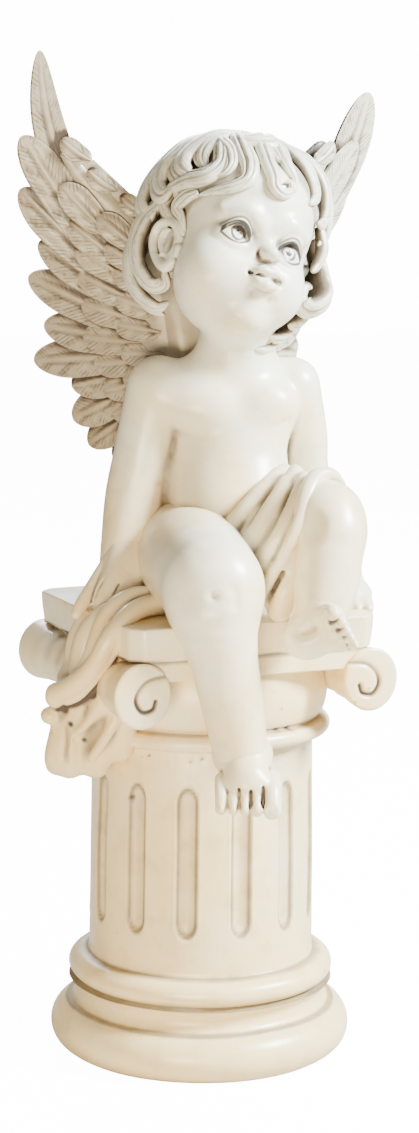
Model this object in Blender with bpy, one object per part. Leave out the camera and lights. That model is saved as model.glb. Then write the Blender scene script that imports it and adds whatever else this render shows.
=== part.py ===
import bmesh
import bpy
import numpy as np
from math import cos, pi, radians, sin, tau

# A cast resin cherub with raised wings, sitting on a short fluted Ionic column.
# Metres, +Z up, origin at the middle of the round base's underside, and the
# capital's sides along X and Y, with its front towards -Y.

# Column sizes
BASE_RADIUS = 0.0611
BASE_FOOT_RADIUS = 0.052
LOWER_TORUS_HEIGHT = 0.0192
SCOTIA_HEIGHT = 0.0098
SCOTIA_RADIUS = 0.0505
SCOTIA_EDGE = 0.0545
UPPER_TORUS_RADIUS = 0.0540
UPPER_TORUS_HEIGHT = 0.0110
SHAFT_RADIUS = 0.0457
SHAFT_TOP_RADIUS = 0.0445
SHAFT_LENGTH = 0.0920
RING_RADIUS = 0.0515
RING_HEIGHT = 0.0062
ECHINUS_NECK = 0.0462
ECHINUS_RADIUS = 0.0505
ECHINUS_HEIGHT = 0.0276
CHANNEL_HEIGHT = 0.0042
ABACUS_HALF_WIDTH = 0.0524
ABACUS_HEIGHT = 0.0133
ABACUS_EDGE = 0.0010
ABACUS_CORNER = 0.0046
FLUTE_COUNT = 13
FLUTE_RADIUS = 0.0050
FLUTE_DEPTH = 0.0021
FLUTE_MARGIN = 0.0170
FLUTE_TURN = radians(-31)
VOLUTE_RADIUS = 0.0128
VOLUTE_INSET = 0.0039
VOLUTE_OVERHANG = 0.0012
VOLUTE_SINK = 0.0006
BOLSTER_WAIST = 0.0092
SPIRAL_TURNS = 1.05
SPIRAL_WIDTH = 0.0022
SPIRAL_DEPTH = 0.0014

# Clearances: how far neighbouring parts of the column stand off or overlap
SHAFT_FILLET = 0.0008
TORUS_SEAT = 0.0012
CHANNEL_SETBACK = 0.0008
CHANNEL_OVERLAP = 0.0020

# Figure sizes: its pose and carving are laid out on 218 shares of its height
FIGURE_HEIGHT = 0.2180
SHARES = 218.0
FIGURE_TURN = radians(-24)
SKIN_CELL = 0.0015
FIGURE_FACES = 5040

# The middle of each volute, and the heights of the column's parts from the ground up
VOLUTE_REACH = ABACUS_HALF_WIDTH - VOLUTE_INSET
SCOTIA_BASE = LOWER_TORUS_HEIGHT
UPPER_TORUS_BASE = SCOTIA_BASE + SCOTIA_HEIGHT
SHAFT_BASE = UPPER_TORUS_BASE + UPPER_TORUS_HEIGHT
RING_BASE = SHAFT_BASE + SHAFT_LENGTH
ECHINUS_BASE = RING_BASE + RING_HEIGHT
CHANNEL_BASE = ECHINUS_BASE + ECHINUS_HEIGHT
ABACUS_BASE = CHANNEL_BASE + CHANNEL_HEIGHT
SEAT = ABACUS_BASE + ABACUS_HEIGHT
VOLUTE_HEIGHT = ABACUS_BASE + VOLUTE_SINK - VOLUTE_RADIUS


def clear_scene():
    for old in list(bpy.data.objects):
        bpy.data.objects.remove(old, do_unlink=True)


def resin(name):
    """Ivory antique resin, satin."""
    material = bpy.data.materials.new(name)
    material.use_nodes = True
    shader = material.node_tree.nodes["Principled BSDF"]
    shader.inputs["Base Color"].default_value = (0.82, 0.75, 0.62, 1.0)
    shader.inputs["Roughness"].default_value = 0.42
    shader.inputs["Metallic"].default_value = 0.0
    return material


def new_object(name, vertices, faces, material=None):
    mesh = bpy.data.meshes.new(name)
    mesh.from_pydata([tuple(v) for v in vertices], [], [tuple(f) for f in faces])
    mesh.validate()
    mesh.update()
    piece = bpy.data.objects.new(name, mesh)
    bpy.context.collection.objects.link(piece)
    if material is not None:
        mesh.materials.append(material)
    return piece


def make_guide(piece):
    """Mark a shape that is only merged into, or cut from, the statue."""
    piece.hide_render = True
    piece.display_type = "WIRE"
    return piece


def keep_outer_skin(piece):
    """Apply the modifiers and drop the skins of closed pockets, which the casting fills."""
    bpy.context.view_layer.update()
    whole = bpy.data.meshes.new_from_object(piece.evaluated_get(bpy.context.evaluated_depsgraph_get()))
    body = bmesh.new()
    body.from_mesh(whole)
    bpy.data.meshes.remove(whole)
    body.verts.ensure_lookup_table()
    island = np.full(len(body.verts), -1)
    sizes = []
    for start in body.verts:
        if island[start.index] >= 0:
            continue
        island[start.index] = len(sizes)
        front = [start]
        size = 0
        while front:
            vertex = front.pop()
            size += 1
            for edge in vertex.link_edges:
                other = edge.other_vert(vertex)
                if island[other.index] < 0:
                    island[other.index] = len(sizes)
                    front.append(other)
        sizes.append(size)
    largest = int(np.argmax(sizes))
    spare = [vertex for vertex in body.verts if island[vertex.index] != largest]
    bmesh.ops.delete(body, geom=spare, context="VERTS")
    piece.modifiers.clear()
    body.to_mesh(piece.data)
    body.free()


def combine(piece, other, operation, solver="EXACT"):
    step = piece.modifiers.new(operation.title() + " " + other.name, "BOOLEAN")
    step.operation = operation
    step.object = other
    step.solver = solver


# The turned column
def arc(centre, half, start, end, count):
    """Points on an ellipse in the (radius, height) plane, from one angle to another."""
    angles = np.radians(np.linspace(start, end, count))
    return [(centre[0] + half[0] * cos(a), centre[1] + half[1] * sin(a)) for a in angles]


def column_profile():
    """The outline of the column from its underside to just inside the abacus."""
    half = LOWER_TORUS_HEIGHT / 2
    swell = (BASE_RADIUS - BASE_FOOT_RADIUS, half)
    outline = [(0.0, 0.0)]
    outline += arc((BASE_FOOT_RADIUS, half), swell, -90, 70, 6)
    outline += [(SCOTIA_EDGE, SCOTIA_BASE)]
    middle = SCOTIA_BASE + SCOTIA_HEIGHT / 2
    hollow = (SCOTIA_EDGE - SCOTIA_RADIUS, SCOTIA_HEIGHT / 2)
    outline += arc((SCOTIA_EDGE, middle), hollow, 240, 120, 3)
    half = UPPER_TORUS_HEIGHT / 2
    swell = (UPPER_TORUS_RADIUS - SHAFT_RADIUS - TORUS_SEAT, half)
    centre = (SHAFT_RADIUS + TORUS_SEAT, UPPER_TORUS_BASE + half)
    outline += arc(centre, swell, -72, 90, 5)
    outline += [(SHAFT_RADIUS, SHAFT_BASE + SHAFT_FILLET)]
    outline += [(SHAFT_TOP_RADIUS, RING_BASE - SHAFT_FILLET)]
    half = RING_HEIGHT / 2
    outline += arc((RING_RADIUS - half, RING_BASE + half), (half, half), -75, 75, 4)
    outline += [(ECHINUS_NECK, ECHINUS_BASE + SHAFT_FILLET)]
    half = ECHINUS_HEIGHT / 2
    swell = (ECHINUS_RADIUS - ECHINUS_NECK, half)
    outline += arc((ECHINUS_NECK, ECHINUS_BASE + half), swell, -62, 90, 4)
    outline += [(ECHINUS_NECK * 0.9, ABACUS_BASE + ABACUS_HEIGHT / 2)]
    outline += [(0.0, ABACUS_BASE + ABACUS_HEIGHT / 2)]
    return outline


def turned(name, outline, sides, axis="Z", material=None):
    """A body turned from an outline that starts and ends on the axis."""
    ring = outline[1:-1]
    vertices = []
    for radius, height in ring:
        for i in range(sides):
            angle = tau * i / sides
            vertices.append((radius * cos(angle), radius * sin(angle), height))
    bottom = len(vertices)
    vertices += [(0.0, 0.0, outline[0][1]), (0.0, 0.0, outline[-1][1])]
    faces = []
    for i in range(sides):
        j = (i + 1) % sides
        faces.append((bottom, j, i))
        last = (len(ring) - 1) * sides
        faces.append((bottom + 1, last + i, last + j))
        for k in range(len(ring) - 1):
            a = k * sides
            b = a + sides
            faces.append((a + i, a + j, b + j, b + i))
    if axis == "Y":
        vertices = [(x, -z, y) for x, y, z in vertices]
    return new_object(name, vertices, faces, material)


def flute_cutters():
    """Round-ended rods standing round the shaft, each sunk to the flute's depth."""
    low = SHAFT_BASE + FLUTE_MARGIN
    high = RING_BASE - FLUTE_MARGIN
    reach = SHAFT_RADIUS - FLUTE_DEPTH + FLUTE_RADIUS
    outline = [(0.0, low)]
    outline += arc((0.0, low + FLUTE_RADIUS * 1.6), (FLUTE_RADIUS, FLUTE_RADIUS * 1.6), -70, 0, 3)
    outline += arc((0.0, high - FLUTE_RADIUS * 1.6), (FLUTE_RADIUS, FLUTE_RADIUS * 1.6), 0, 70, 3)
    outline += [(0.0, high)]
    rod = turned("flute", outline, 8)
    body = bmesh.new()
    for i in range(FLUTE_COUNT):
        angle = FLUTE_TURN + tau * i / FLUTE_COUNT
        copy = rod.data.copy()
        for vertex in copy.vertices:
            vertex.co.x += reach * sin(angle)
            vertex.co.y -= reach * cos(angle)
        body.from_mesh(copy)
        bpy.data.meshes.remove(copy)
    body.to_mesh(rod.data)
    body.free()
    return make_guide(rod)


# The capital
def block(name, low, high, edge=0.0, corner=0.0):
    """A box, with its upright edges cut off by corner and then all its edges by edge."""
    body = bmesh.new()
    bmesh.ops.create_cube(body, size=1.0)
    middle = (np.array(low) + np.array(high)) / 2
    size = np.array(high) - np.array(low)
    for vertex in body.verts:
        vertex.co = middle + np.array(vertex.co) * size
    if corner:
        upright = [e for e in body.edges if abs(e.verts[0].co.z - e.verts[1].co.z) > edge]
        bmesh.ops.bevel(body, geom=upright, offset=corner, segments=1, affect="EDGES")
    if edge:
        bmesh.ops.bevel(body, geom=body.edges[:], offset=edge, segments=1, affect="EDGES")
    mesh = bpy.data.meshes.new(name)
    body.to_mesh(mesh)
    body.free()
    piece = bpy.data.objects.new(name, mesh)
    bpy.context.collection.objects.link(piece)
    return make_guide(piece)


def bolster(name, side):
    """A scroll seen from the side: a drum at front and back with a narrow waist between."""
    face = ABACUS_HALF_WIDTH + VOLUTE_OVERHANG
    lengths = np.linspace(-1, 1, 9)
    outline = [(0.0, -face)]
    for t in lengths:
        flare = abs(t) ** 2.2
        outline.append((BOLSTER_WAIST + (VOLUTE_RADIUS - BOLSTER_WAIST) * flare, face * t))
    outline.append((0.0, face))
    scroll = turned(name, outline, 22, axis="Y")
    for vertex in scroll.data.vertices:
        vertex.co.x += side * VOLUTE_REACH
        vertex.co.z += VOLUTE_HEIGHT
    return make_guide(scroll)


def spiral_cutter(name, side, end):
    """The groove of a volute: a square strip wound inwards on the scroll's end face."""
    count = 18
    face = end * (ABACUS_HALF_WIDTH + VOLUTE_OVERHANG)
    vertices = []
    for i in range(count):
        t = i / (count - 1)
        angle = radians(95) - tau * SPIRAL_TURNS * t
        radius = (0.76 - 0.62 * t) * VOLUTE_RADIUS
        width = SPIRAL_WIDTH * (1 - 0.35 * t)
        for r, y in ((-0.5, -1), (0.5, -1), (0.5, 1), (-0.5, 1)):
            x = (radius + r * width) * cos(angle) * side
            z = (radius + r * width) * sin(angle)
            vertices.append((side * VOLUTE_REACH + x, face + y * SPIRAL_DEPTH, VOLUTE_HEIGHT + z))
    faces = [(3, 2, 1, 0)]
    for i in range(count - 1):
        for k in range(4):
            a = i * 4 + k
            b = i * 4 + (k + 1) % 4
            faces.append((a, b, b + 4, a + 4))
    last = (count - 1) * 4
    faces.append((last, last + 1, last + 2, last + 3))
    groove = new_object(name, vertices, faces)
    body = bmesh.new()
    body.from_mesh(groove.data)
    bmesh.ops.recalc_face_normals(body, faces=body.faces)
    body.to_mesh(groove.data)
    body.free()
    return make_guide(groove)


# The figure: a block of clay, where each cell holds its distance to the skin
def unit(v):
    v = np.asarray(v, float)
    return v / np.linalg.norm(v)


def smooth_path(points, steps):
    """A Catmull-Rom curve through points, which may carry radii in further columns."""
    p = np.asarray(points, float)
    p = np.vstack([2 * p[0] - p[1], p, 2 * p[-1] - p[-2]])
    out = []
    for i in range(1, len(p) - 2):
        for t in np.linspace(0, 1, steps, endpoint=False):
            a, b, c, d = p[i - 1], p[i], p[i + 1], p[i + 2]
            out.append(0.5 * (2 * b + (c - a) * t + (2 * a - 5 * b + 4 * c - d) * t * t
                              + (3 * b - a - 3 * c + d) * t ** 3))
    out.append(p[-2])
    return np.array(out)


class Clay:
    def __init__(self, low, high, cell):
        self.cell = cell
        self.low = np.asarray(low, float)
        self.count = np.ceil((np.asarray(high, float) - self.low) / cell).astype(int) + 1
        self.depth = np.full(self.count, 30.0)

    def part(self, low, high):
        a = np.clip(np.floor((low - self.low) / self.cell).astype(int), 0, self.count)
        b = np.clip(np.ceil((high - self.low) / self.cell).astype(int) + 1, 0, self.count)
        where = tuple(slice(i, j) for i, j in zip(a, b))
        axes = [self.low[k] + self.cell * np.arange(a[k], b[k]) for k in range(3)]
        grid = np.stack(np.meshgrid(*axes, indexing="ij"), -1)
        return where, grid

    def apply(self, low, high, distance, blend, cut=False):
        reach = blend + 3 * self.cell
        where, grid = self.part(np.asarray(low) - reach, np.asarray(high) + reach)
        if grid.size == 0:
            return
        old = self.depth[where]
        new = distance(grid)
        if cut:
            h = np.maximum(blend - np.abs(old + new), 0) / blend
            self.depth[where] = np.maximum(old, -new) + h * h * blend / 4
        else:
            h = np.maximum(blend - np.abs(old - new), 0) / blend
            self.depth[where] = np.minimum(old, new) - h * h * blend / 4

    def egg(self, centre, radii, frame=None, blend=4.0, cut=False):
        """An ellipsoid, with its radii along the columns of frame."""
        centre = np.asarray(centre, float)
        radii = np.asarray(radii, float)

        def distance(grid):
            q = grid - centre
            if frame is not None:
                q = q @ frame
            near = np.linalg.norm(q / radii, axis=-1)
            slope = np.linalg.norm(q / radii ** 2, axis=-1) + 1e-9
            return near * (near - 1) / slope

        reach = radii.max() if frame is not None else radii
        self.apply(centre - reach, centre + reach, distance, blend, cut)

    def rod(self, points, blend=4.0, steps=4, cut=False):
        """A limb or fold along a smooth path of (x, y, z, radius)."""
        path = smooth_path(points, steps)
        low = (path[:, :3] - path[:, 3:]).min(0)
        high = (path[:, :3] + path[:, 3:]).max(0)

        def distance(grid):
            best = None
            for a, b in zip(path[:-1], path[1:]):
                line = b[:3] - a[:3]
                t = np.clip((grid - a[:3]) @ line / (line @ line + 1e-9), 0, 1)
                gap = np.linalg.norm(grid - a[:3] - t[..., None] * line, axis=-1)
                gap -= a[3] + t * (b[3] - a[3])
                best = gap if best is None else np.minimum(best, gap)
            return best

        self.apply(low, high, distance, blend, cut)

    def fill_pits(self):
        """Fill pits so small that the skin would touch itself across them."""
        pairs = [((0, 0, 0), (1, 1, 0)), ((0, 0, 0), (1, 0, 1)), ((0, 0, 0), (0, 1, 1))]
        while True:
            inside = self.depth < 0
            fill = np.zeros_like(inside)
            for low, high in pairs:
                steps = [k for k in range(3) if high[k]]
                corners = [tuple((i if k == steps[0] else j if k == steps[1] else 0) for k in range(3))
                           for i, j in ((0, 0), (1, 0), (1, 1), (0, 1))]
                spans = [tuple(slice(c[k], inside.shape[k] - high[k] + c[k]) for k in range(3))
                         for c in corners]
                a, b, c, e = (inside[span] for span in spans)
                crossed = (a == c) & (b == e) & (a != b)
                for span in spans:
                    fill[span] |= crossed
            corners = [(i, j, k) for i in (0, 1) for j in (0, 1) for k in (0, 1)]
            spans = [tuple(slice(c[k], inside.shape[k] - 1 + c[k]) for k in range(3)) for c in corners]
            total = sum(inside[span].astype(int) for span in spans)
            for i in range(4):
                a, b = inside[spans[i]], inside[spans[7 - i]]
                crossed = (a & b & (total == 2)) | (~a & ~b & (total == 6))
                for span in spans:
                    fill[span] |= crossed
            fill &= ~inside
            if not fill.any():
                return
            self.depth[fill] = -0.05 * self.cell

    def skin(self):
        """Surface nets: one point in each cell that the skin crosses, joined by quads."""
        self.fill_pits()
        d = self.depth
        inside = d < 0
        n = np.array(d.shape) - 1
        corners = [(i, j, k) for i in (0, 1) for j in (0, 1) for k in (0, 1)]
        total = sum(inside[i:i + n[0], j:j + n[1], k:k + n[2]].astype(int) for i, j, k in corners)
        cells = np.argwhere((total > 0) & (total < 8))
        value = {c: d[tuple((cells + c).T)] for c in corners}
        place = np.zeros((len(cells), 3))
        weight = np.zeros(len(cells))
        for a in corners:
            for axis in range(3):
                if a[axis]:
                    continue
                b = list(a)
                b[axis] = 1
                va, vb = value[a], value[tuple(b)]
                cross = (va < 0) != (vb < 0)
                t = np.where(cross, va / np.where(cross, va - vb, 1.0), 0.0)
                point = np.tile(np.array(a, float), (len(cells), 1))
                point[:, axis] += t
                place += point * cross[:, None]
                weight += cross
        place = self.low + self.cell * (cells + place / weight[:, None])
        number = np.full(tuple(n), -1)
        number[tuple(cells.T)] = np.arange(len(cells))
        quads = []
        for axis in range(3):
            u, v = (axis + 1) % 3, (axis + 2) % 3
            step = np.zeros(3, int)
            step[axis] = 1
            here = inside[tuple(slice(0, s - step[k]) for k, s in enumerate(inside.shape))]
            there = inside[tuple(slice(step[k], s) for k, s in enumerate(inside.shape))]
            edges = np.argwhere(here != there)
            edges = edges[(edges[:, u] > 0) & (edges[:, v] > 0)]
            edges = edges[(edges[:, u] < n[u]) & (edges[:, v] < n[v])]
            du = np.zeros(3, int)
            dv = np.zeros(3, int)
            du[u] = 1
            dv[v] = 1
            ring = [edges - du - dv, edges - dv, edges, edges - du]
            quad = np.stack([number[tuple(r.T)] for r in ring], 1)
            out = here[tuple(edges.T)]
            quads.append(np.where(out[:, None], quad, quad[:, ::-1]))
        return place, np.vstack(quads)


# The trunk and wings face the capital's front, turned from the viewer by this much
BODY_TURN = radians(24)

# Pose: points are (right, back, up) from the middle of the seat, as the figure's viewer
# sees them, in shares of its height
HEAD = np.array([11.5, 2.0, 150.0])


def head_frame(tilt=20, turn=22, lean=19):
    """Columns are the head's own side, front and crown, tilted up, turned and leaned."""
    a, b, c = radians(tilt), radians(turn), radians(lean)
    side = np.array([1.0, 0.0, 0.0])
    front = np.array([0.0, -cos(a), sin(a)])
    crown = np.array([0.0, sin(a), cos(a)])
    spin = np.array([[cos(b), -sin(b), 0], [sin(b), cos(b), 0], [0, 0, 1]])
    roll = np.array([[cos(c), 0, sin(c)], [0, 1, 0], [-sin(c), 0, cos(c)]])
    return (roll @ spin @ np.stack([side, front, crown], 1))


def on_head(frame, side, front, crown):
    return HEAD + frame @ np.array([side, front, crown], float)


def trunk_and_arms(clay):
    clay.egg((7, 6, 14), (31, 25, 18), blend=6)
    clay.egg((9.5, 2, 50), (24, 19, 26), blend=9)
    clay.egg((11, -7, 36), (23, 20, 20), blend=9)
    clay.egg((9, 5, 74), (26, 17, 19), blend=8)
    clay.egg((-16, 6, 52), (9, 8, 16), blend=5)
    clay.rod([(-16, -1, 84, 12), (9, 8, 88, 12.5), (33, 14, 84, 11.5)], blend=8)
    clay.rod([(10, 8, 90, 16), (13, 4, 112, 15)], blend=7)
    right = [(-19, 0, 86, 12.7), (-24.5, 2, 64, 11.4), (-28.5, 2, 43, 11.6), (-31, -3, 26, 10.5),
             (-34, -9, 15, 8.0)]
    clay.rod(right, blend=3.5)
    # The back of the right hand with its long fingers together, the forefinger apart, the thumb
    clay.rod([(-31.5, -9, 20, 8.6), (-33.5, -14.5, 15, 8.7), (-37.5, -21, 7, 7.6), (-40.5, -24.5, 1.5, 5.6)],
             blend=2)
    clay.rod([(-38, -13, 17, 3.8), (-43.5, -18, 11, 4.3), (-49, -22.5, 3, 3.9), (-52.5, -24.5, -3, 3.0)],
             blend=1)
    clay.rod([(-29, -19, 12, 4.6), (-32, -25, 5.5, 4.6), (-35.5, -28.5, 0.5, 4.2)], blend=1)
    left = [(34, 14, 86, 11.7), (38.5, 17, 66, 10.6), (40, 18, 50, 10.2), (49, 15, 30, 9.6),
            (60, 8, 12, 7.6)]
    clay.rod(left, blend=3.5)
    clay.egg((63, -2, 4), (8, 9, 6), blend=3)


def legs(clay):
    clay.rod([(-8, 4, 20, 21), (-3, -28, 19, 21.5), (3, -56, 16, 19.5)], blend=5)
    clay.egg((4, -60, 12), (18.5, 15, 19), blend=4)
    clay.rod([(4, -61, 6, 16.5), (8, -62, -13, 13), (11.5, -62, -30, 12), (14.5, -62, -46, 10.2)],
             blend=4)
    clay.egg((15.2, -58.5, -49), (11.6, 11, 9.5), blend=3)
    clay.rod([(15.8, -60, -50, 10.2), (17.2, -69, -57, 9.2)], blend=3)
    clay.egg((18.2, -71, -59), (12.2, 7.2, 5.8), blend=3)
    for across, size in ((7.6, 2.6), (12, 2.6), (16.4, 2.7), (20.9, 2.8), (26.3, 3.9)):
        clay.rod([(across, -69, -57, size + 0.3), (across, -75, -60.5, size), (across, -79, -65.5, size)],
                 blend=0.8)
    clay.rod([(24, 4, 20, 20), (36, -18, 33, 18), (46, -38, 39, 15.5)], blend=5)
    clay.egg((47.5, -43, 36), (14, 13, 16.5), blend=4)
    clay.rod([(48.2, -46, 33, 13.2), (47, -50, 18, 12.4), (44.5, -54, 6, 10.5), (41, -57, -3, 8.5)],
             blend=4)
    long = unit((0.845, -0.30, 0.43))
    flat = unit((-0.2, -0.92, -0.3))
    wide = np.cross(long, flat)
    sole = np.stack([long, wide, flat], 1)
    heel = np.array([38.0, -58.5, -4.0])
    clay.egg(heel, (8.2, 8, 7.5), sole, blend=3)
    clay.egg(heel + 6 * long, (9.5, 8.3, 6.5), sole, blend=3)
    clay.egg(heel + 12.5 * long + wide, (6.5, 9.8, 6), sole, blend=3)
    for i, (offset, size) in enumerate(((-6.4, 3.6), (-1.6, 2.7), (2.2, 2.6), (5.4, 2.5), (8.2, 2.4))):
        root = heel + (13.5 + 0.9 * i) * long + offset * wide + 2 * flat
        tip = heel + (20.6 - size) * long + offset * wide + 3.6 * flat
        clay.rod([(*root, size), (*tip, size)], blend=0.8)


def head(clay, frame):
    def egg(place, radii, blend=4.0, cut=False):
        clay.egg(on_head(frame, *place), radii, frame, blend, cut)

    def rod(points, blend=2.0, cut=False):
        clay.rod([(*on_head(frame, *p[:3]), p[3]) for p in points], blend, 3, cut)

    egg((0, -3, 3), (30, 34, 30.5))
    egg((0, 6, -17), (26, 22, 26), 8)
    egg((0, 5, -31), (22, 18, 15), 8)
    egg((0, 19, -40), (8, 7, 7), 7)
    egg((0, 12, 6), (22, 18, 18), 8)
    for s in (-1, 1):
        egg((s * 14.5, 14, -26), (12, 12, 12), 8)
        egg((s * 12, 30.5, -12), (7, 5, 5), 5, True)
        egg((s * 12, 21.5, -12.5), (7.2, 6.6, 6.2), 1.5)
        rod([(s * 5, 28.2, -10, 0.9), (s * 11, 30, -6.6, 1.1), (s * 18, 25, -10, 0.9)], 1.2)
        rod([(s * 29, -2, -9, 2.6), (s * 31.5, -6, -14, 2.4), (s * 30, -4, -23, 2.6)], 1.5)
        rod([(s * 3.2, 29, -21.5, 2.2), (s * 2.5, 30, -21, 2.2)], 2)
    rod([(0, 26.5, -9, 2.6), (0, 30.5, -19.5, 3.6)], 3)
    rod([(-6.5, 26.5, -28.5, 1.2), (0, 30, -26.6, 2.2), (6.5, 26.5, -28.5, 1.2)], 2)
    rod([(-4.5, 26.5, -32, 1.4), (0, 29, -32.5, 2.4), (4.5, 26.5, -32, 1.4)], 2)
    rod([(-5, 28.5, -29.3, 0.9), (0, 31.5, -29.3, 1.2), (5, 28.5, -29.3, 0.9)], 1, True)


def hair(clay, frame):
    """Loose curls: short fat arcs that follow the skull, thick at the root and hooked."""
    cap = np.array([31.0, 35.0, 31.5])
    golden = pi * (3 - 5 ** 0.5)
    count = 46
    for i in range(count):
        up = 1 - 1.45 * (i + 0.5) / count
        angle = golden * i
        ring = (1 - up * up) ** 0.5
        out = np.array([ring * sin(angle), ring * cos(angle), up])
        if out[1] > 0.30 and out[2] < 0.62:
            continue
        along = np.cross(out, unit((0.25, 0.2, 1.0)))
        down = np.cross(out, unit(along))
        side = 1.0 if i % 2 else -1.0
        points = []
        for k in range(4):
            t = k / 3
            bend = side * sin(2.6 * t)
            place = out * cap + (down * (-9 + 17 * t) + unit(along) * 6 * bend)
            place *= 1 + 0.05 * sin(pi * t)
            points.append((*on_head(frame, *(place + (0, -3, 3))), 5.4 - 2.4 * t))
        clay.rod(points, blend=1.2, steps=3)
    # Forelocks: one curls over the brow, others sweep to the viewer's left
    lock = [(2, 22, 27, 4.5), (-1, 29, 20, 4.2), (3, 32, 13, 3.8), (8, 31.5, 11, 3.2), (9, 31, 15, 2.6)]
    clay.rod([(*on_head(frame, *p[:3]), p[3]) for p in lock], 1.2, 3)
    for i in range(4):
        lift = 3.5 * i
        lock = [(-3 - 4 * i, 25 - 2 * i, 25 - lift, 4.4), (-14 - 3 * i, 26 - 5 * i, 17 - lift, 4.6),
                (-22 - 2 * i, 19 - 6 * i, 10 - 2 * lift, 3.8), (-26 - i, 12 - 5 * i, 2 - 2 * lift, 2.8)]
        clay.rod([(*on_head(frame, *p[:3]), p[3]) for p in lock], 1.2, 3)
    for i in range(4):
        lock = [(8 + 4 * i, 24 - 3 * i, 24 - 3 * i, 4.4), (17 + 3 * i, 22 - 5 * i, 15 - 6 * i, 4.4),
                (22 + 2.5 * i, 17 - 4 * i, 5 - 9 * i, 4.0), (26 + i, 11 - 4 * i, -3 - 10 * i, 3.0)]
        clay.rod([(*on_head(frame, *p[:3]), p[3]) for p in lock], 1.2, 3)
    # A full curl beside the left cheek, and curls behind the right ear and on the nape
    for lock in ([(30, 2, -4, 4.5), (35, 4, -12, 5.5), (35, 6, -20, 6.0), (30, 6, -26, 4.5)],
                 [(29, -6, -14, 5.0), (33, -4, -24, 5.5), (30, 0, -32, 5.0), (25, 3, -35, 3.5)],
                 [(-31, -8, -2, 4.5), (-35, -12, -12, 4.8), (-33, -12, -24, 4.8), (-27, -9, -33, 4.0)],
                 [(-27, -18, -10, 5.0), (-31, -20, -22, 5.0), (-26, -17, -34, 4.5), (-19, -12, -38, 3.5)]):
        clay.rod([(*on_head(frame, *p[:3]), p[3]) for p in lock], 1.5, 3)


def wing(clay, root, side, crest):
    """A slab with three rows of feathers, which droop at the bottom and rise at the top.
    The wing's own plane swings forward towards the top. The crest is the top feather's
    root, tip and half width."""
    def swing(b):
        return np.radians(np.minimum(45.0, 36.0 - 0.27 * (b - 100.0))) + side * BODY_TURN

    def place(a, b, c):
        angle = swing(b)
        out = np.array([side * cos(angle), sin(angle), 0.0])
        face = np.array([side * sin(angle), -cos(angle), 0.0])
        return np.array([root[0], root[1], b]) + a * out + (c - 0.0012 * a * a) * face

    def feather(start, tip, half, thick, lift):
        base, end = place(*start, lift + 0.6), place(*tip, lift)
        angle = swing((start[1] + tip[1]) / 2)
        along = unit(end - base)
        across = unit(np.cross(along, (side * sin(angle), -cos(angle), 0.0)))
        normal = np.cross(along, across)
        frame = np.stack([along, across, normal], 1)
        length = np.linalg.norm(end - base)
        middle = (base + end) / 2

        def distance(grid):
            q = (grid - middle) @ frame
            s = q[..., 0] / length + 0.5
            width = half * np.clip(0.62 + 1.1 * s - 0.85 * s * s, 0.1, 1)
            round_end = np.sqrt(np.clip(1 - (np.clip(s - 0.72, 0, 1) / 0.28) ** 2, 0, 1))
            edge = np.abs(q[..., 1]) - width * round_end
            edge = np.maximum(edge, (np.abs(s - 0.5) - 0.5) * length)
            arch = 0.25 * thick * (1 - (q[..., 1] / half) ** 2)
            depth = np.abs(q[..., 2] - 0.3 * arch) - thick / 2
            return np.maximum(edge * 0.8, depth)

        size = np.array([length / 2, half, thick])
        reach = np.abs(frame) @ size
        clay.apply(middle - reach, middle + reach, distance, 0.8)

    def slab(grid):
        """Within a thickness that thins outwards, and within the slab's edges at each level."""
        x, y, b = grid[..., 0] - root[0], grid[..., 1] - root[1], grid[..., 2]
        angle = swing(b)
        a = x * side * np.cos(angle) + y * np.sin(angle)
        c = x * side * np.sin(angle) - y * np.cos(angle) + 0.0012 * a * a
        inner = np.maximum(-2, 1.1 * (b - 140))
        outer = np.interp(b, (56, 80, 100, 160, 178), (18, 36, 42, 48, 54))
        thick = np.interp(a, (10, 34), (4.5, 1.8))
        return np.maximum.reduce([np.abs(c) - thick, a - outer, inner - a, 56 - b, b - 178])

    def droop(b):
        return radians(np.interp(b, (50, 70, 95, 125, 160, 185), (-42, -25, -4, 22, 42, 58)))

    def feathers(row, thick, lift):
        for a, b, length, half in row:
            start = (a - length * cos(droop(b)), b - length * sin(droop(b)))
            feather(start, (a, b), half, thick, lift)

    centre = np.array([root[0], root[1], 116.0])
    clay.apply(centre - (60, 60, 62), centre + (60, 60, 62), slab, 1.5)
    feather(crest[0], crest[1], crest[2], 3.6, 0.0)
    feathers([(67, 184, 48, 8), (68, 163, 48, 9), (61, 142, 44, 8.5), (66, 128, 46, 9), (61, 108, 42, 8.5),
              (67, 93, 46, 8.5), (51, 83, 36, 8), (52, 69, 36, 8), (45, 59, 32, 7.5), (33, 53, 26, 7.5)], 3.2, 0.0)
    feathers([(51 - 17 * (i / 8) ** 1.4, 163 - 11.5 * i, 26, 7.5) for i in range(9)], 3.2, 2.2)
    feathers([(35 - i, 150 - 10.3 * i, 20, 6.6) for i in range(8)], 3.2, 4.2)
    edge = [(3, 120, 6.5), (18, 152, 5.5), (29, 161, 4.8), (41, 171, 4.2), (53, 184, 3.2)]
    clay.rod([(*place(a, b, 1.5), r) for a, b, r in edge], blend=3)
    body = [(2, 76, 6), (6, 100, 7), (12, 125, 7), (20, 146, 5.5)]
    clay.rod([(*place(a, b, 1.0), r) for a, b, r in body], blend=4)
    clay.egg(place(1, 92, 1), (10, 9, 20), blend=6)


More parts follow.
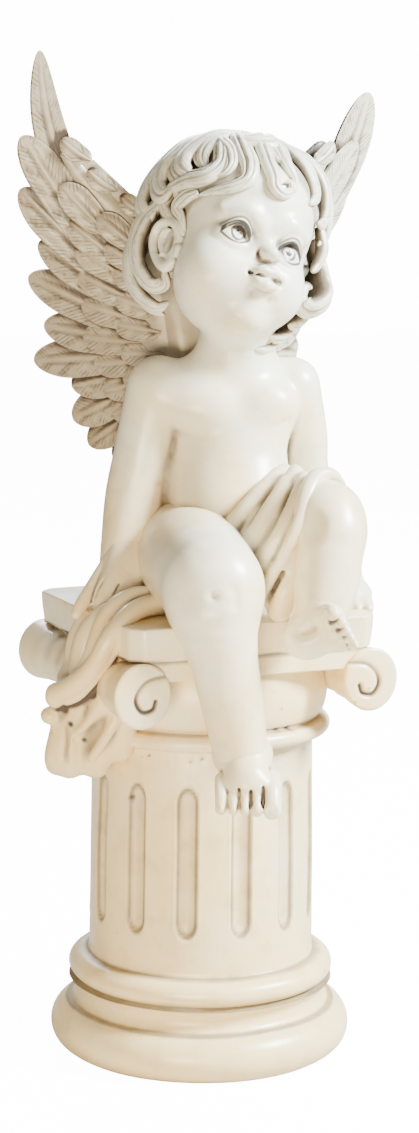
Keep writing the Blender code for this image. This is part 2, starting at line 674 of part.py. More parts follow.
def drapery(clay):
    """Cloth over the left thigh, and a bunch under the right hand that falls off the seat."""
    clay.rod([(20, 0, 23, 20), (34, -20, 35, 18.8), (40, -28, 38, 17)], blend=3)
    clay.rod([(24, -32, 36, 8), (26, -41, 20, 6.5), (30, -42, 14, 5)], blend=3)
    for fold in ([(31, -12, 54), (24, -23, 49), (16, -30, 42), (8, -30, 33)],
                 [(35, -24, 55.5), (29, -35, 46.5), (22, -40, 36), (16, -42, 28)],
                 [(38, -32, 54), (34, -42, 45.5), (28, -46, 34), (22, -45, 23)],
                 [(53, -33, 52), (48.5, -34, 56), (43, -38, 55.5), (39, -45, 50), (36.5, -49, 42),
                  (33.5, -51, 35), (30.5, -51, 28), (26, -49, 17), (22, -47, 9)]):
        clay.rod([(*point, 3.4) for point in fold], blend=1.2)
    for gap in ([(28, -27, 55, 1), (21, -35, 42, 1.6), (13, -40, 33, 1.6)],
                [(34, -34, 53, 1), (28, -43, 41, 1.6), (21, -46, 29, 1.6)],
                [(38.5, -42, 51, 1), (32.5, -49, 40, 1.6), (26, -50, 25, 1.6)]):
        clay.rod(gap, blend=1.0, cut=True)
    clay.rod([(-14, -50, 2, 5), (-25, -58, 4, 5), (-32.5, -59, -1, 5.6), (-41, -54, -16, 6.2),
              (-50, -46, -26, 6.2), (-58, -41, -29.5, 5.2)], blend=2)
    clay.rod([(-26, -44, 4, 6), (-40, -40, 0, 6.5), (-49, -36, -12, 7), (-56, -32, -26, 7)], blend=2)
    clay.rod([(-30, -24, 3, 6), (-50, -22, -2, 6), (-58, -20, -14, 6.5), (-60, -20, -27, 6.5)],
             blend=2)
    clay.rod([(-38, -48, -16, 8), (-48, -34, -26, 10), (-54, -26, -28, 8)], blend=3)
    clay.rod([(-50, -40, -32, 7), (-54, -37, -46, 7), (-52, -33, -55, 6.5)], blend=2)
    clay.rod([(-42, -42, -32, 6.5), (-45, -38, -46, 6.5), (-43, -33, -55, 6)], blend=2)
    clay.rod([(-34, -44, -30, 5), (-37, -37, -45, 5.5), (-35, -32, -55, 5)], blend=2)
    clay.rod([(-52, -26, -30, 7), (-50, -22, -44, 7), (-44, -22, -54, 6)], blend=3)
    clay.rod([(-54, -38, -36, 4), (-62, -38, -39, 4.2)], blend=1.5)


def figure():
    clay = Clay((-88, -90, -70), (86, 100, 224), SKIN_CELL * SHARES / FIGURE_HEIGHT)
    frame = head_frame()
    trunk_and_arms(clay)
    legs(clay)
    drapery(clay)
    wing(clay, (-7.4, 18.4), -1, ((51, 158), (64, 218), 5.2))
    wing(clay, (10.8, 26.5), 1, ((53, 152), (66, 204), 9.0))
    head(clay, frame)
    hair(clay, frame)
    points, quads = clay.skin()
    turn = np.array([[cos(FIGURE_TURN), -sin(FIGURE_TURN), 0], [sin(FIGURE_TURN), cos(FIGURE_TURN), 0],
                     [0, 0, 1]])
    points = points @ turn.T * (FIGURE_HEIGHT / SHARES) + (0, 0, SEAT)
    return points, quads


def build():
    clear_scene()
    material = resin("ivory resin")
    points, quads = figure()
    carving = new_object("figure", points, quads)
    keep_outer_skin(carving)
    thin = carving.modifiers.new("Fewer faces", "DECIMATE")
    thin.ratio = FIGURE_FACES / (2 * len(carving.data.polygons))
    make_guide(carving)

    statue = turned("cherub_statue", column_profile(), 48, material=material)
    combine(statue, flute_cutters(), "DIFFERENCE")
    half = ABACUS_HALF_WIDTH
    front = half - CHANNEL_SETBACK
    channel = block("channel", (-VOLUTE_REACH, -front, CHANNEL_BASE - CHANNEL_OVERLAP),
                    (VOLUTE_REACH, front, ABACUS_BASE + CHANNEL_OVERLAP))
    combine(statue, channel, "UNION")
    for side in (-1, 1):
        combine(statue, bolster("bolster" + str(side), side), "UNION")
    abacus = block("abacus", (-half, -half, ABACUS_BASE), (half, half, SEAT), ABACUS_EDGE, ABACUS_CORNER)
    combine(statue, abacus, "UNION")
    for side in (-1, 1):
        for end in (-1, 1):
            combine(statue, spiral_cutter("spiral%d%d" % (side, end), side, end), "DIFFERENCE")
    combine(statue, carving, "UNION", "MANIFOLD")
    keep_outer_skin(statue)
    statue.data.shade_smooth()
    statue.data.set_sharp_from_angle(angle=radians(40))


build()
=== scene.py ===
import bpy
import numpy as np
from math import cos, pi, radians, sin, tau
from mathutils import Matrix


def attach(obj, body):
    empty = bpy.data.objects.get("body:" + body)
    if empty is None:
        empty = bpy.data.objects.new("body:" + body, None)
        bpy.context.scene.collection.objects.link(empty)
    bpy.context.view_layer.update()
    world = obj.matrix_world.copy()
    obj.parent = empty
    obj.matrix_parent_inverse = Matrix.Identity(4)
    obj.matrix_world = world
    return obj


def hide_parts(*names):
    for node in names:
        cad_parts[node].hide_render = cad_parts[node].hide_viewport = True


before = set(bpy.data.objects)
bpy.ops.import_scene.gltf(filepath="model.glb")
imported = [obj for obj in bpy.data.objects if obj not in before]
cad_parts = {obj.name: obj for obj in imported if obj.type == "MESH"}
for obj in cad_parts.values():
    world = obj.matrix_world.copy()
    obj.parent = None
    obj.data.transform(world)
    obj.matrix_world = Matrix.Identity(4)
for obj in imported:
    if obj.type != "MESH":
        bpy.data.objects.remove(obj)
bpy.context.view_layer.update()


# The column: one polyresin casting turned in the mould, with a fat lower torus, a scotia, an
# upper torus, a shaft with round-ended flutes, a neck ring and an echinus. The ivory resin is
# rubbed with a thin brown wash that stays in the carving, under a satin clear coat.
class Wire:
    """A socket of a node tree that adds, multiplies and so on like a number."""

    def __init__(self, tree, socket=None):
        self.tree = tree
        self.socket = socket

    def node(self, kind, settings=None, values=None, output=0):
        """A new node with its settings and inputs, numbers or links, as a Wire on an output."""
        made = self.tree.nodes.new("ShaderNode" + kind)
        for key, value in (settings or {}).items():
            setattr(made, key, value)
        for key, value in (values or {}).items():
            if isinstance(value, Wire):
                self.tree.links.new(value.socket, made.inputs[key])
            else:
                made.inputs[key].default_value = value
        return Wire(self.tree, made.outputs[output])

    def maths(self, operation, other=0.0, swapped=False):
        """This value and the other, or the other first where swapped."""
        pair = (other, self) if swapped else (self, other)
        return self.node("Math", {"operation": operation}, {0: pair[0], 1: pair[1]})

    def __add__(self, other):
        return self.maths("ADD", other)

    def __radd__(self, other):
        return self.maths("ADD", other)

    def __sub__(self, other):
        return self.maths("SUBTRACT", other)

    def __rsub__(self, other):
        return self.maths("SUBTRACT", other, swapped=True)

    def __mul__(self, other):
        return self.maths("MULTIPLY", other)

    def __rmul__(self, other):
        return self.maths("MULTIPLY", other)

    def __truediv__(self, other):
        return self.maths("DIVIDE", other)

    def __rtruediv__(self, other):
        return self.maths("DIVIDE", other, swapped=True)

    def __pow__(self, other):
        return self.maths("POWER", other)

    def size(self):
        """The value without its sign."""
        return self.maths("ABSOLUTE")

    def step(self, start, end):
        """0 up to start, 1 from end, and a smooth rise between."""
        values = {0: self, 1: start, 2: end}
        return self.node("MapRange", {"interpolation_type": "SMOOTHSTEP"}, values)

    def mix(self, first, second):
        """Two colours mixed by this factor."""
        settings = {"data_type": "RGBA"}
        return self.node("Mix", settings, {0: self, 6: first, 7: second}, output=2)

    def noise(self, scale, detail=3.0, roughness=0.5):
        """A noise that reads this place."""
        values = {"Vector": self, "Scale": scale, "Detail": detail, "Roughness": roughness}
        return self.node("TexNoise", {}, values)


def resin(name, wash=1.0, tan_and_shade=0.0, lines=None):
    """The statue's finish. The recess attribute, 0 on the open and 1 in the deepest
    carving, draws the wash; tan_and_shade is how much of it is left on the open, which
    for a piece out of the light is raised as painted shade; and lines adds what is
    engraved finer than the mesh."""
    cool_ivory = (0.82, 0.795, 0.68, 1)
    # Painted warm light, mixed in towards the bottom
    warm_lit_ivory = (0.88, 0.668, 0.350, 1)
    tan_wash_and_shade = (0.30, 0.215, 0.125, 1)
    taupe_wash = (0.17, 0.12, 0.073, 1)
    brown_wash = (0.045, 0.026, 0.014, 1)
    speck_brown = (0.19, 0.12, 0.07, 1)
    line_brown = (0.022, 0.017, 0.014, 1)
    material = bpy.data.materials.new(name)
    material.use_nodes = True
    tree = material.node_tree
    shader = tree.nodes["Principled BSDF"]
    start = Wire(tree)
    place = start.node("TexCoord", output=3)
    recess = start.node("Attribute", {"attribute_name": "recess"}, output=2)
    height = start.node("SeparateXYZ", {}, {0: place}, output=2)

    # Lower parts are painted warmer, as if lit by the warm fill from below, and the wash is cloudy where
    # it was rubbed off
    broad = place.noise(22.0, 2.0)
    cloud = place.noise(90.0, 4.0, 0.6)
    grain = place.noise(900.0, 3.0, 0.6)
    warm = (0.92 - height * 2.7 + (broad - 0.5) * 1.5).step(0.0, 0.8)
    ivory = warm.mix(cool_ivory, warm_lit_ivory)
    # On a wing out of the light, more tan is left on the open as painted shade
    left = (tan_and_shade + (cloud - 0.5) * 0.5 * tan_and_shade).maths("MAXIMUM", cloud.step(0.46, 0.78) * 0.22)
    rubbed = left.mix(ivory, tan_wash_and_shade)

    # In the carving the wash goes from taupe to dark brown
    stain = (recess * wash + (cloud - 0.5) * 0.25 * wash).step(0.08, 0.62)
    taupe = (stain * 0.86).mix(rubbed, taupe_wash)
    deep = (recess * wash + (cloud - 0.5) * 0.35).step(0.50, 0.95)
    brown = (deep * 0.95).mix(taupe, brown_wash)
    speck_size = start.node("TexVoronoi", {}, {"Vector": place, "Scale": 130.0})
    speck = (1.0 - speck_size.step(0.05, 0.11)) * broad.step(0.60, 0.66)
    spotted = (speck * 0.7).mix(brown, speck_brown)
    relief = grain * 0.25 + cloud * 0.6 - speck * 0.8
    if lines is not None:
        engraved = lines(start)
        spotted = (engraved * 0.97).mix(spotted, line_brown)
        relief = relief - engraved * 1.5
    tree.links.new(spotted.socket, shader.inputs["Base Color"])
    rough = 0.34 + stain * 0.22 + (cloud - 0.5) * 0.16
    tree.links.new(rough.socket, shader.inputs["Roughness"])
    bump = start.node("Bump", {}, {"Strength": 0.35, "Distance": 0.00025, "Height": relief})
    tree.links.new(bump.socket, shader.inputs["Normal"])
    shader.inputs["Metallic"].default_value = 0.0
    shader.inputs["IOR"].default_value = 1.49
    shader.inputs["Coat Weight"].default_value = 0.15
    shader.inputs["Coat Roughness"].default_value = 0.22
    shader.inputs["Subsurface Weight"].default_value = 0.06
    shader.inputs["Subsurface Radius"].default_value = (0.004, 0.003, 0.002)
    shader.inputs["Subsurface Scale"].default_value = 0.5
    return material


smooth_finish = resin("ivory resin", 0.9)


def closed_skin(rings, recess):
    """A skin that joins each ring of points (ring, round, xyz) to the next, with a fan to
    the middle of the first and last ring. recess has one value for each point of a ring."""
    count, around = rings.shape[:2]
    points = np.concatenate([rings.reshape(-1, 3), rings[:1].mean(1), rings[-1:].mean(1)])
    values = np.concatenate([recess.ravel(), recess[:1].mean(1), recess[-1:].mean(1)])
    i = np.arange(around)
    j = (i + 1) % around
    row = np.arange(count - 1)[:, None] * around
    quads = np.stack([row + i, row + j, row + around + j, row + around + i], -1).reshape(-1, 4)
    end = count * around
    low = np.stack([np.full(around, end), j, i], 1)
    top = np.stack([np.full(around, end + 1), end - around + i, end - around + j], 1)
    fans = np.concatenate([low, top])
    corners = points[fans]
    volume = np.einsum("ij,ij->", corners[:, 0], np.cross(corners[:, 1], corners[:, 2]))
    corners = points[quads]
    volume += np.einsum("ij,ij->", corners[:, 0], np.cross(corners[:, 1], corners[:, 2]))
    volume += np.einsum("ij,ij->", corners[:, 0], np.cross(corners[:, 2], corners[:, 3]))
    if volume < 0:
        quads = quads[:, ::-1]
        fans = fans[:, ::-1]
    return points, quads, fans, values


def add_piece(name, skins, finish, flat=None):
    """One piece from closed skins, riding on the statue. flat, where given, is each
    point's (u, v) for patterns that follow the surface."""
    starts = np.cumsum([0] + [len(skin[0]) for skin in skins])
    points = np.concatenate([skin[0] for skin in skins])
    values = np.concatenate([skin[3] for skin in skins])
    faces = []
    for start, skin in zip(starts, skins):
        faces += (skin[1] + start).tolist()
        faces += (skin[2] + start).tolist()
    mesh = bpy.data.meshes.new(name)
    mesh.from_pydata(points, [], faces)
    layer = mesh.attributes.new("recess", "FLOAT", "POINT")
    layer.data.foreach_set("value", values.astype(np.float32))
    if flat is not None:
        corner = np.empty(len(mesh.loops), int)
        mesh.loops.foreach_get("vertex_index", corner)
        layer = mesh.uv_layers.new(name="flat")
        layer.data.foreach_set("uv", flat[corner].astype(np.float32).ravel())
    mesh.shade_smooth()
    mesh.materials.append(finish)
    piece = bpy.data.objects.new(name, mesh)
    bpy.context.collection.objects.link(piece)
    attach(piece, "root")
    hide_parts("cherub_statue")
    return piece


def column():
    """An outline carried round the axis: radius and height over the angle. Flutes, pits and a
    slight waviness are taken off the radius."""

    def bead(centre, half, start, end, count):
        """An arc of an ellipse from the start to the end angle, as (radius, height)."""
        turn = np.radians(np.linspace(start, end, count))
        return np.stack([centre[0] + half[0] * np.cos(turn), centre[1] + half[1] * np.sin(turn)], 1)

    shaft_low = 0.0412
    shaft_high = 0.1312
    shaft_radius = 0.0457
    shaft_taper = 0.0012
    shaft = np.linspace(shaft_low, shaft_high, 66)
    narrowing = shaft_taper * (shaft - shaft_low) / (shaft_high - shaft_low)
    underside = [(0.004, 0.0), (0.030, 0.0), (0.048, 0.0)]
    lower_torus = bead((0.052, 0.0096), (0.0091, 0.0096), -88, 68, 22)
    scotia = bead((0.0546, 0.0241), (0.0040, 0.0048), 245, 115, 10)
    upper_torus = bead((0.0468, 0.0345), (0.0071, 0.0055), -78, 82, 16)
    neck_ring = bead((0.0484, 0.1351), (0.0031, 0.0031), -84, 84, 12)
    echinus = bead((0.0462, 0.1520), (0.0042, 0.0130), -70, 60, 18)
    outline = np.concatenate([
        underside,
        lower_torus,
        [(0.0549, 0.0191), (0.0545, 0.0196)],
        scotia,
        [(0.0538, 0.0290)],
        upper_torus,
        [(0.0462, 0.0401)],
        np.stack([shaft_radius - narrowing, shaft], 1),
        [(0.0447, 0.1318)],
        neck_ring,
        [(0.0468, 0.1385), (0.0464, 0.1395)],
        echinus,
        [(0.0462, 0.1700), (0.030, 0.1720), (0.004, 0.1720)],
    ])
    around = 312
    angle = tau * np.arange(around) / around
    radius = np.repeat(outline[:, :1], around, 1)
    height = np.repeat(outline[:, 1:], around, 1)

    # Flutes: a round-ended hollow, deepest along its middle, cut as a share of the shaft
    flutes = 13
    first_flute = radians(121)
    flute_half_width = 0.0044
    flute_depth = 0.0020
    flute_middle = 0.0862
    straight_half = 0.0238
    round_end = 0.0068
    pitch = tau / flutes
    offset = (angle + first_flute + pitch / 2) % pitch - pitch / 2
    across = offset * 0.0452 / flute_half_width
    past = np.maximum(np.abs(height - flute_middle) - straight_half, 0) / round_end
    gap = np.sqrt(across[None, :] ** 2 + past ** 2)
    hollow = np.clip(1 - gap ** 2, 0, 1) ** 0.75
    lip = np.exp(-((gap - 1.05) / 0.12) ** 2)
    radius = radius - flute_depth * hollow + 0.00022 * lip

    # The waviness of a hand-finished pattern, and the pits that trapped air has left
    wave = np.sin(3 * angle + 1.1)[None, :] * np.sin(height * 130)
    wave = wave + 0.6 * np.sin(7 * angle + height * 60)
    radius = radius + 0.00016 * wave * np.clip(radius / 0.03 - 0.5, 0, 1)
    # Each pit is (degrees from the figure's right, height, size)
    pits = np.array([(-96, 0.1275, 0.9), (-104, 0.1278, 0.7), (-90, 0.1282, 0.6), (-118, 0.1282, 0.7),
                     (-129, 0.1100, 1.0), (-57, 0.1545, 1.0), (-63, 0.1560, 0.6), (-84, 0.1385, 0.8),
                     (-45, 0.1390, 1.2), (-52, 0.1392, 0.9), (-150, 0.1050, 0.8), (20, 0.1150, 0.9),
                     (75, 0.0800, 0.8), (140, 0.1240, 1.0), (160, 0.0600, 0.7), (-20, 0.0350, 0.6)])
    dimple = np.zeros_like(radius)
    for turn, level, size in pits:
        side = ((angle - radians(turn - 24) + pi) % tau - pi) * 0.046
        dimple += np.exp(-((side[None, :] / 0.0011) ** 2 + ((height - level) / 0.0007) ** 2) / size)
    radius = radius - 0.0007 * np.clip(dimple, 0, 1)

    # Wash in the corners between the mouldings: (height, width, strength)
    crack = np.zeros_like(radius)
    for level, width, strength in ((0.0194, 0.0009, 1.0), (0.0291, 0.0008, 1.0), (0.0403, 0.0008, 1.0),
                                   (0.1387, 0.0010, 0.9), (0.1316, 0.0009, 0.8)):
        crack += strength * np.exp(-((height - level) / width) ** 2)
    edge = np.exp(-((gap - 0.86) / 0.2) ** 2) * 0.55
    recess = 0.6 * crack + 0.9 * dimple + 0.30 * hollow + edge * (gap < 1.2)
    rings = np.stack([radius * np.cos(angle), radius * np.sin(angle), height], -1)
    add_piece("column", [closed_skin(rings, recess)], smooth_finish)


column()


# The capital: a square abacus over a flat channel, with a scroll along each side that
# shows a volute at front and back. It is cast with the column, and its edges are soft.
def smooth_path(points, steps):
    """A Catmull-Rom curve through the points, whose further columns are carried along."""
    p = np.asarray(points, float)
    p = np.vstack([2 * p[0] - p[1], p, 2 * p[-1] - p[-2]])
    t = np.linspace(0, 1, steps, endpoint=False)[None, :, None]
    a, b, c, d = (p[k:len(p) - 3 + k][:, None, :] for k in range(4))
    curve = 0.5 * (2 * b + (c - a) * t + (2 * a - 5 * b + 4 * c - d) * t * t
                   + (3 * b - a - 3 * c + d) * t ** 3)
    return np.vstack([curve.reshape(-1, p.shape[1]), p[-2]])


def capital():
    """Two slabs, each a square carried up, and two scrolls, each a circle carried along Y."""
    quarter = np.concatenate([np.arange(0, 40, 3.2), np.arange(40, 50, 0.5),
                              np.arange(50, 90, 3.2)])
    angle = np.radians(quarter + 90 * np.arange(4)[:, None]).ravel()
    direction = np.stack([np.cos(angle), np.sin(angle)], 1)

    def slab(half_x, half_y, levels, shrink, corner=2.2, power=150.0):
        """Rings of a slab: at each level a square drawn in by shrink. A high power of the
        two directions and of their sum over corner gives its soft, cut-off corners."""
        cut = np.abs(direction).sum(1) / corner
        reach = (np.abs(direction) ** power).sum(1) + cut ** power
        reach = reach ** (-1 / power)
        ring = direction * reach[:, None]
        rings = np.zeros((len(levels), len(angle), 3))
        rings[:, :, 0] = ring[:, 0] * (half_x - shrink[:, None])
        rings[:, :, 1] = ring[:, 1] * (half_y - shrink[:, None])
        rings[:, :, 2] = levels[:, None]
        return rings

    abacus_half = 0.0524
    abacus_low = 0.1700
    abacus_top = 0.1833
    soft = 0.0008
    edge = np.linspace(0, pi / 2, 7)
    side = np.linspace(abacus_low + soft, abacus_top - soft, 14)[1:-1]
    levels = np.concatenate([[abacus_low] * 12, abacus_low + soft * (1 - np.cos(edge)), side,
                             abacus_top - soft * (1 - np.sin(edge)), [abacus_top] * 12])
    inward = np.linspace(0.0500, soft * 1.2, 12)
    shrink = np.concatenate([inward, soft * (1 - np.sin(edge)), 0 * side,
                             soft * (1 - np.cos(edge)), inward[::-1]])
    shrink = shrink + 0.0007 * np.sin(np.clip((0.1815 - levels) / 0.0115, 0, 1) * pi / 2) ** 3
    rings = slab(abacus_half, abacus_half, levels, shrink, 1.90)
    dent = np.sin(rings[..., 0] * 95 + 1) * np.sin(rings[..., 1] * 120) * np.sin(rings[..., 2] * 300)
    rings[..., :2] *= 1 + 0.004 * dent[..., None]
    rings[..., 2] += 0.0002 * np.sin(rings[..., 0] * 160) * np.sin(rings[..., 1] * 130)
    under = np.exp(-((rings[..., 2] - 0.1702) / 0.0009) ** 2)
    chips = np.sin(rings[..., 0] * 230) + np.sin(rings[..., 1] * 310 + 2)
    recess = 1.1 * under * (0.6 + 0.3 * chips) + 0.1
    skins = [closed_skin(rings, recess)]

    # The channel under it, a plain slab
    levels = np.concatenate([[0.1625] * 6, np.linspace(0.1630, 0.1704, 8), [0.1708] * 6])
    inward = np.linspace(0.045, 0.0, 6)
    shrink = np.concatenate([inward, np.zeros(8), inward[::-1]])
    rings = slab(0.0478, 0.0516, levels, shrink)
    recess = np.clip((rings[..., 2] - 0.1685) / 0.0016, 0, 1) * 0.55 + 0.1
    skins.append(closed_skin(rings, recess))

    # A scroll: banded rings along Y between its two faces
    around = 104
    turn = tau * np.arange(around) / around
    half_length = 0.0536
    waist_radius = 0.0092
    face_radius = 0.0128
    scroll_out = 0.0485
    scroll_top = 0.1706
    squash = 0.92
    bands = 9
    along = np.linspace(-1, 1, 64)
    # The volute's groove runs over the top, down the outer side and hooks back in, as shares
    # of the face's radius (outward, up)
    line = face_radius * smooth_path([(-0.80, 0.56), (-0.45, 0.54), (-0.10, 0.44), (0.20, 0.14),
                                      (0.25, -0.18), (0.02, -0.46), (-0.33, -0.40),
                                      (-0.44, -0.16)], 10)
    flare = np.abs(along) ** 2.2
    girth = waist_radius + (face_radius - waist_radius) * flare
    girth = girth + 0.0004 * np.cos(along * pi * bands) * (1 - flare)
    groove = 0.5 * (1 - np.cos(along * pi * bands)) * (1 - flare) * 0.2
    body = np.stack([girth, along * half_length, groove], -1)
    body = np.repeat(body[:, None], around, 1)
    # Each face swells in the middle, falls away at its rim, and has the groove cut in it
    shares = np.concatenate([np.linspace(0.04, 0.9, 34), [0.94, 0.97, 0.99]])
    rho = np.repeat(shares[:, None], around, 1) * face_radius
    x = rho * np.cos(turn)
    z = rho * np.sin(turn)
    apart = np.hypot(x[..., None] - line[:, 0], z[..., None] - line[:, 1]).min(-1)
    cut = np.exp(-(apart / 0.0011) ** 2) * (0.65 + 0.35 * np.clip(-z / 0.004 + 0.6, 0, 1))
    swell = 0.0007 * (1 - (rho / face_radius) ** 2)
    rim = np.clip((rho / face_radius - 0.9) / 0.1, 0, 1) ** 2 * 0.0008
    depth = half_length + swell - rim - 0.0013 * cut
    front, back = (np.stack([rho, end * depth, 1.1 * cut ** 1.5], -1) for end in (-1, 1))
    girth, along, carved = np.moveaxis(np.concatenate([front, body[1:-1], back[::-1]]), -1, 0)
    for flank in (-1, 1):
        rings = np.stack([flank * (scroll_out + squash * girth * np.cos(turn)), along,
                          scroll_top - face_radius + girth * np.sin(turn)], -1)
        skins.append(closed_skin(rings, carved + 0.06))
    add_piece("capital", skins, smooth_finish)


capital()


# The trunk, neck and arms: a plump child's, upright and turned to the capital's front. The
# figure is modelled by hand in clay and cast as one with its column, so its pieces are worked
# as clay is: soft masses are pressed together in a block, and creases are cut in.
SEAT = 0.1833
TURN = radians(-24)


def to_frame(points):
    """From figure millimetres (right, back, up from the seat) to the frame, in metres."""
    x, y, z = np.moveaxis(np.asarray(points, float), -1, 0)
    across = x * cos(TURN) - y * sin(TURN)
    back = x * sin(TURN) + y * cos(TURN)
    return np.stack([across, back, z + SEAT * 1000], -1) / 1000


class Clay:
    """A block of clay: depth holds each cell's distance to the skin, below 0 inside."""

    def __init__(self, low, high, cell):
        """An empty block from low to high, in figure millimetres."""
        self.cell = cell
        self.low = np.asarray(low, float)
        self.count = np.ceil((np.asarray(high, float) - self.low) / cell).astype(int) + 1
        self.depth = np.full(self.count, 30.0, np.float32)

    def press(self, low, high, distance, blend, cut=False):
        """Joins or cuts a shape, given by its distance, within the box from low to high."""
        reach = blend + 3 * self.cell
        a = np.clip(np.floor((low - reach - self.low) / self.cell).astype(int), 0, self.count)
        b = np.clip(np.ceil((high + reach - self.low) / self.cell).astype(int) + 1, 0, self.count)
        if (a >= b).any():
            return
        where = tuple(slice(i, j) for i, j in zip(a, b))
        axes = [(self.low[k] + self.cell * np.arange(a[k], b[k])).astype(np.float32) for k in range(3)]
        new = distance(np.stack(np.meshgrid(*axes, indexing="ij"), -1)).astype(np.float32)
        old = self.depth[where]
        if cut:
            h = np.maximum(blend - np.abs(old + new), 0) / blend
            self.depth[where] = np.maximum(old, -new) + h * h * blend / 4
        else:
            h = np.maximum(blend - np.abs(old - new), 0) / blend
            self.depth[where] = np.minimum(old, new) - h * h * blend / 4

    def egg(self, centre, radii, axes=None, blend=4.0, cut=False):
        """An ellipsoid, with its radii along the columns of axes."""
        centre = np.asarray(centre, np.float32)
        radii = np.asarray(radii, np.float32)

        def distance(grid):
            q = grid - centre
            if axes is not None:
                q = q @ axes.astype(np.float32)
            near = np.linalg.norm(q / radii, axis=-1)
            slope = np.linalg.norm(q / radii ** 2, axis=-1) + 1e-6
            return near * (near - 1) / slope

        reach = radii if axes is None else radii.max()
        self.press(centre - reach, centre + reach, distance, blend, cut)

    def rod(self, points, blend=4.0, steps=4, cut=False):
        """A limb or a crease along a smooth path of (x, y, z, radius)."""
        path = smooth_path(points, steps).astype(np.float32)
        low = (path[:, :3] - path[:, 3:]).min(0)
        high = (path[:, :3] + path[:, 3:]).max(0)

        def distance(grid):
            best = None
            for a, b in zip(path[:-1], path[1:]):
                line = b[:3] - a[:3]
                t = np.clip((grid - a[:3]) @ line / (line @ line + 1e-9), 0, 1)
                gap = np.linalg.norm(grid - a[:3] - t[..., None] * line, axis=-1)
                gap -= a[3] + t * (b[3] - a[3])
                best = gap if best is None else np.minimum(best, gap)
            return best

        self.press(low, high, distance, blend, cut)

    def hollowness(self, points, radius):
        """How much clay stands round each point: 0 on a flat, up to 1 deep in a crease."""
        full = np.clip(0.5 - self.depth / (2 * self.cell), 0, 1)
        reach = max(1, int(round(radius / self.cell)))
        for axis in range(3):
            for _ in range(2):
                total = np.cumsum(full, axis=axis, dtype=np.float64)
                size = total.shape[axis]
                upper = np.take(total, np.minimum(np.arange(size) + reach, size - 1), axis)
                lower = np.take(total, np.maximum(np.arange(size) - reach - 1, 0), axis)
                full = ((upper - lower) / (2 * reach + 1)).astype(np.float32)
        q = (points - self.low) / self.cell
        base = np.clip(np.floor(q).astype(int), 0, self.count - 2)
        f = q - base
        value = 0
        for corner in np.ndindex(2, 2, 2):
            weight = np.prod(np.where(corner, f, 1 - f), axis=1)
            value = value + weight * full[tuple((base + corner).T)]
        return (value - 0.5) * 2

    def fill_pits(self):
        """Fills pits so small that the skin would touch itself across them."""
        while True:
            inside = self.depth < 0
            fill = np.zeros_like(inside)
            for u, v in ((0, 1), (0, 2), (1, 2)):
                spans = []
                for i, j in ((0, 0), (1, 0), (1, 1), (0, 1)):
                    span = [slice(None)] * 3
                    span[u] = slice(i, inside.shape[u] - 1 + i)
                    span[v] = slice(j, inside.shape[v] - 1 + j)
                    spans.append(tuple(span))
                a, b, c, d = (inside[span] for span in spans)
                crossed = (a == c) & (b == d) & (a != b)
                for span in spans:
                    fill[span] |= crossed
            spans = [tuple(slice(c[k], inside.shape[k] - 1 + c[k]) for k in range(3))
                     for c in np.ndindex(2, 2, 2)]
            total = sum(inside[span].astype(np.int8) for span in spans)
            for i in range(4):
                a, b = inside[spans[i]], inside[spans[7 - i]]
                crossed = (a & b & (total == 2)) | (~a & ~b & (total == 6))
                for span in spans:
                    fill[span] |= crossed
            fill &= ~inside
            if not fill.any():
                return
            self.depth[fill] = -0.05 * self.cell

    def skin(self, fine=1.2, broad=4.0, gain=(1.6, 1.3)):
        """Surface nets: a point in each cell that the skin crosses, joined by quads. Its
        recess value is the hollowness at a fine and a broad scale."""
        self.fill_pits()
        d = self.depth
        inside = d < 0
        n = np.array(d.shape) - 1
        corners = list(np.ndindex(2, 2, 2))
        total = sum(inside[i:i + n[0], j:j + n[1], k:k + n[2]].astype(np.int8)
                    for i, j, k in corners)
        cells = np.argwhere((total > 0) & (total < 8))
        value = {c: d[tuple((cells + c).T)] for c in corners}
        place = np.zeros((len(cells), 3))
        weight = np.zeros(len(cells))
        for a in corners:
            for axis in range(3):
                if a[axis]:
                    continue
                b = list(a)
                b[axis] = 1
                va, vb = value[a], value[tuple(b)]
                cross = (va < 0) != (vb < 0)
                t = np.where(cross, va / np.where(cross, va - vb, 1.0), 0.0)
                point = np.tile(np.array(a, float), (len(cells), 1))
                point[:, axis] += t
                place += point * cross[:, None]
                weight += cross
        place = self.low + self.cell * (cells + place / weight[:, None])
        number = np.full(tuple(n), -1)
        number[tuple(cells.T)] = np.arange(len(cells))
        quads = []
        for axis in range(3):
            u, v = (axis + 1) % 3, (axis + 2) % 3
            here = np.moveaxis(inside, axis, 0)[:-1]
            there = np.moveaxis(inside, axis, 0)[1:]
            edges = np.argwhere(np.moveaxis(here != there, 0, axis))
            pair = edges[:, [u, v]]
            edges = edges[((pair > 0) & (pair < (n[u], n[v]))).all(1)]
            du = np.eye(3, dtype=int)[u]
            dv = np.eye(3, dtype=int)[v]
            ring = [edges - du - dv, edges - dv, edges, edges - du]
            quad = np.stack([number[tuple(r.T)] for r in ring], 1)
            out = inside[tuple(edges.T)]
            quads.append(np.where(out[:, None], quad, quad[:, ::-1]))
        quads = np.vstack(quads)
        place = self.relax(place, quads)
        recess = np.clip(self.hollowness(place, fine), 0, 1) * gain[0]
        recess += np.clip(self.hollowness(place, broad), 0, 1) * gain[1]
        return to_frame(place), quads, np.zeros((0, 3), int), recess

    def relax(self, place, quads):
        """Evens the skin: each point moves a little towards the middle of its neighbours."""
        links = np.concatenate([quads[:, [k, (k + 1) % 4]] for k in range(4)])
        links = np.concatenate([links, links[:, ::-1]])
        share = np.bincount(links[:, 0], minlength=len(place))[:, None]
        for amount in (0.5, -0.3, 0.5, -0.3):
            total = [np.bincount(links[:, 0], place[links[:, 1], k], len(place)) for k in range(3)]
            place = place + amount * (np.stack(total, 1) / share - place)
        return place


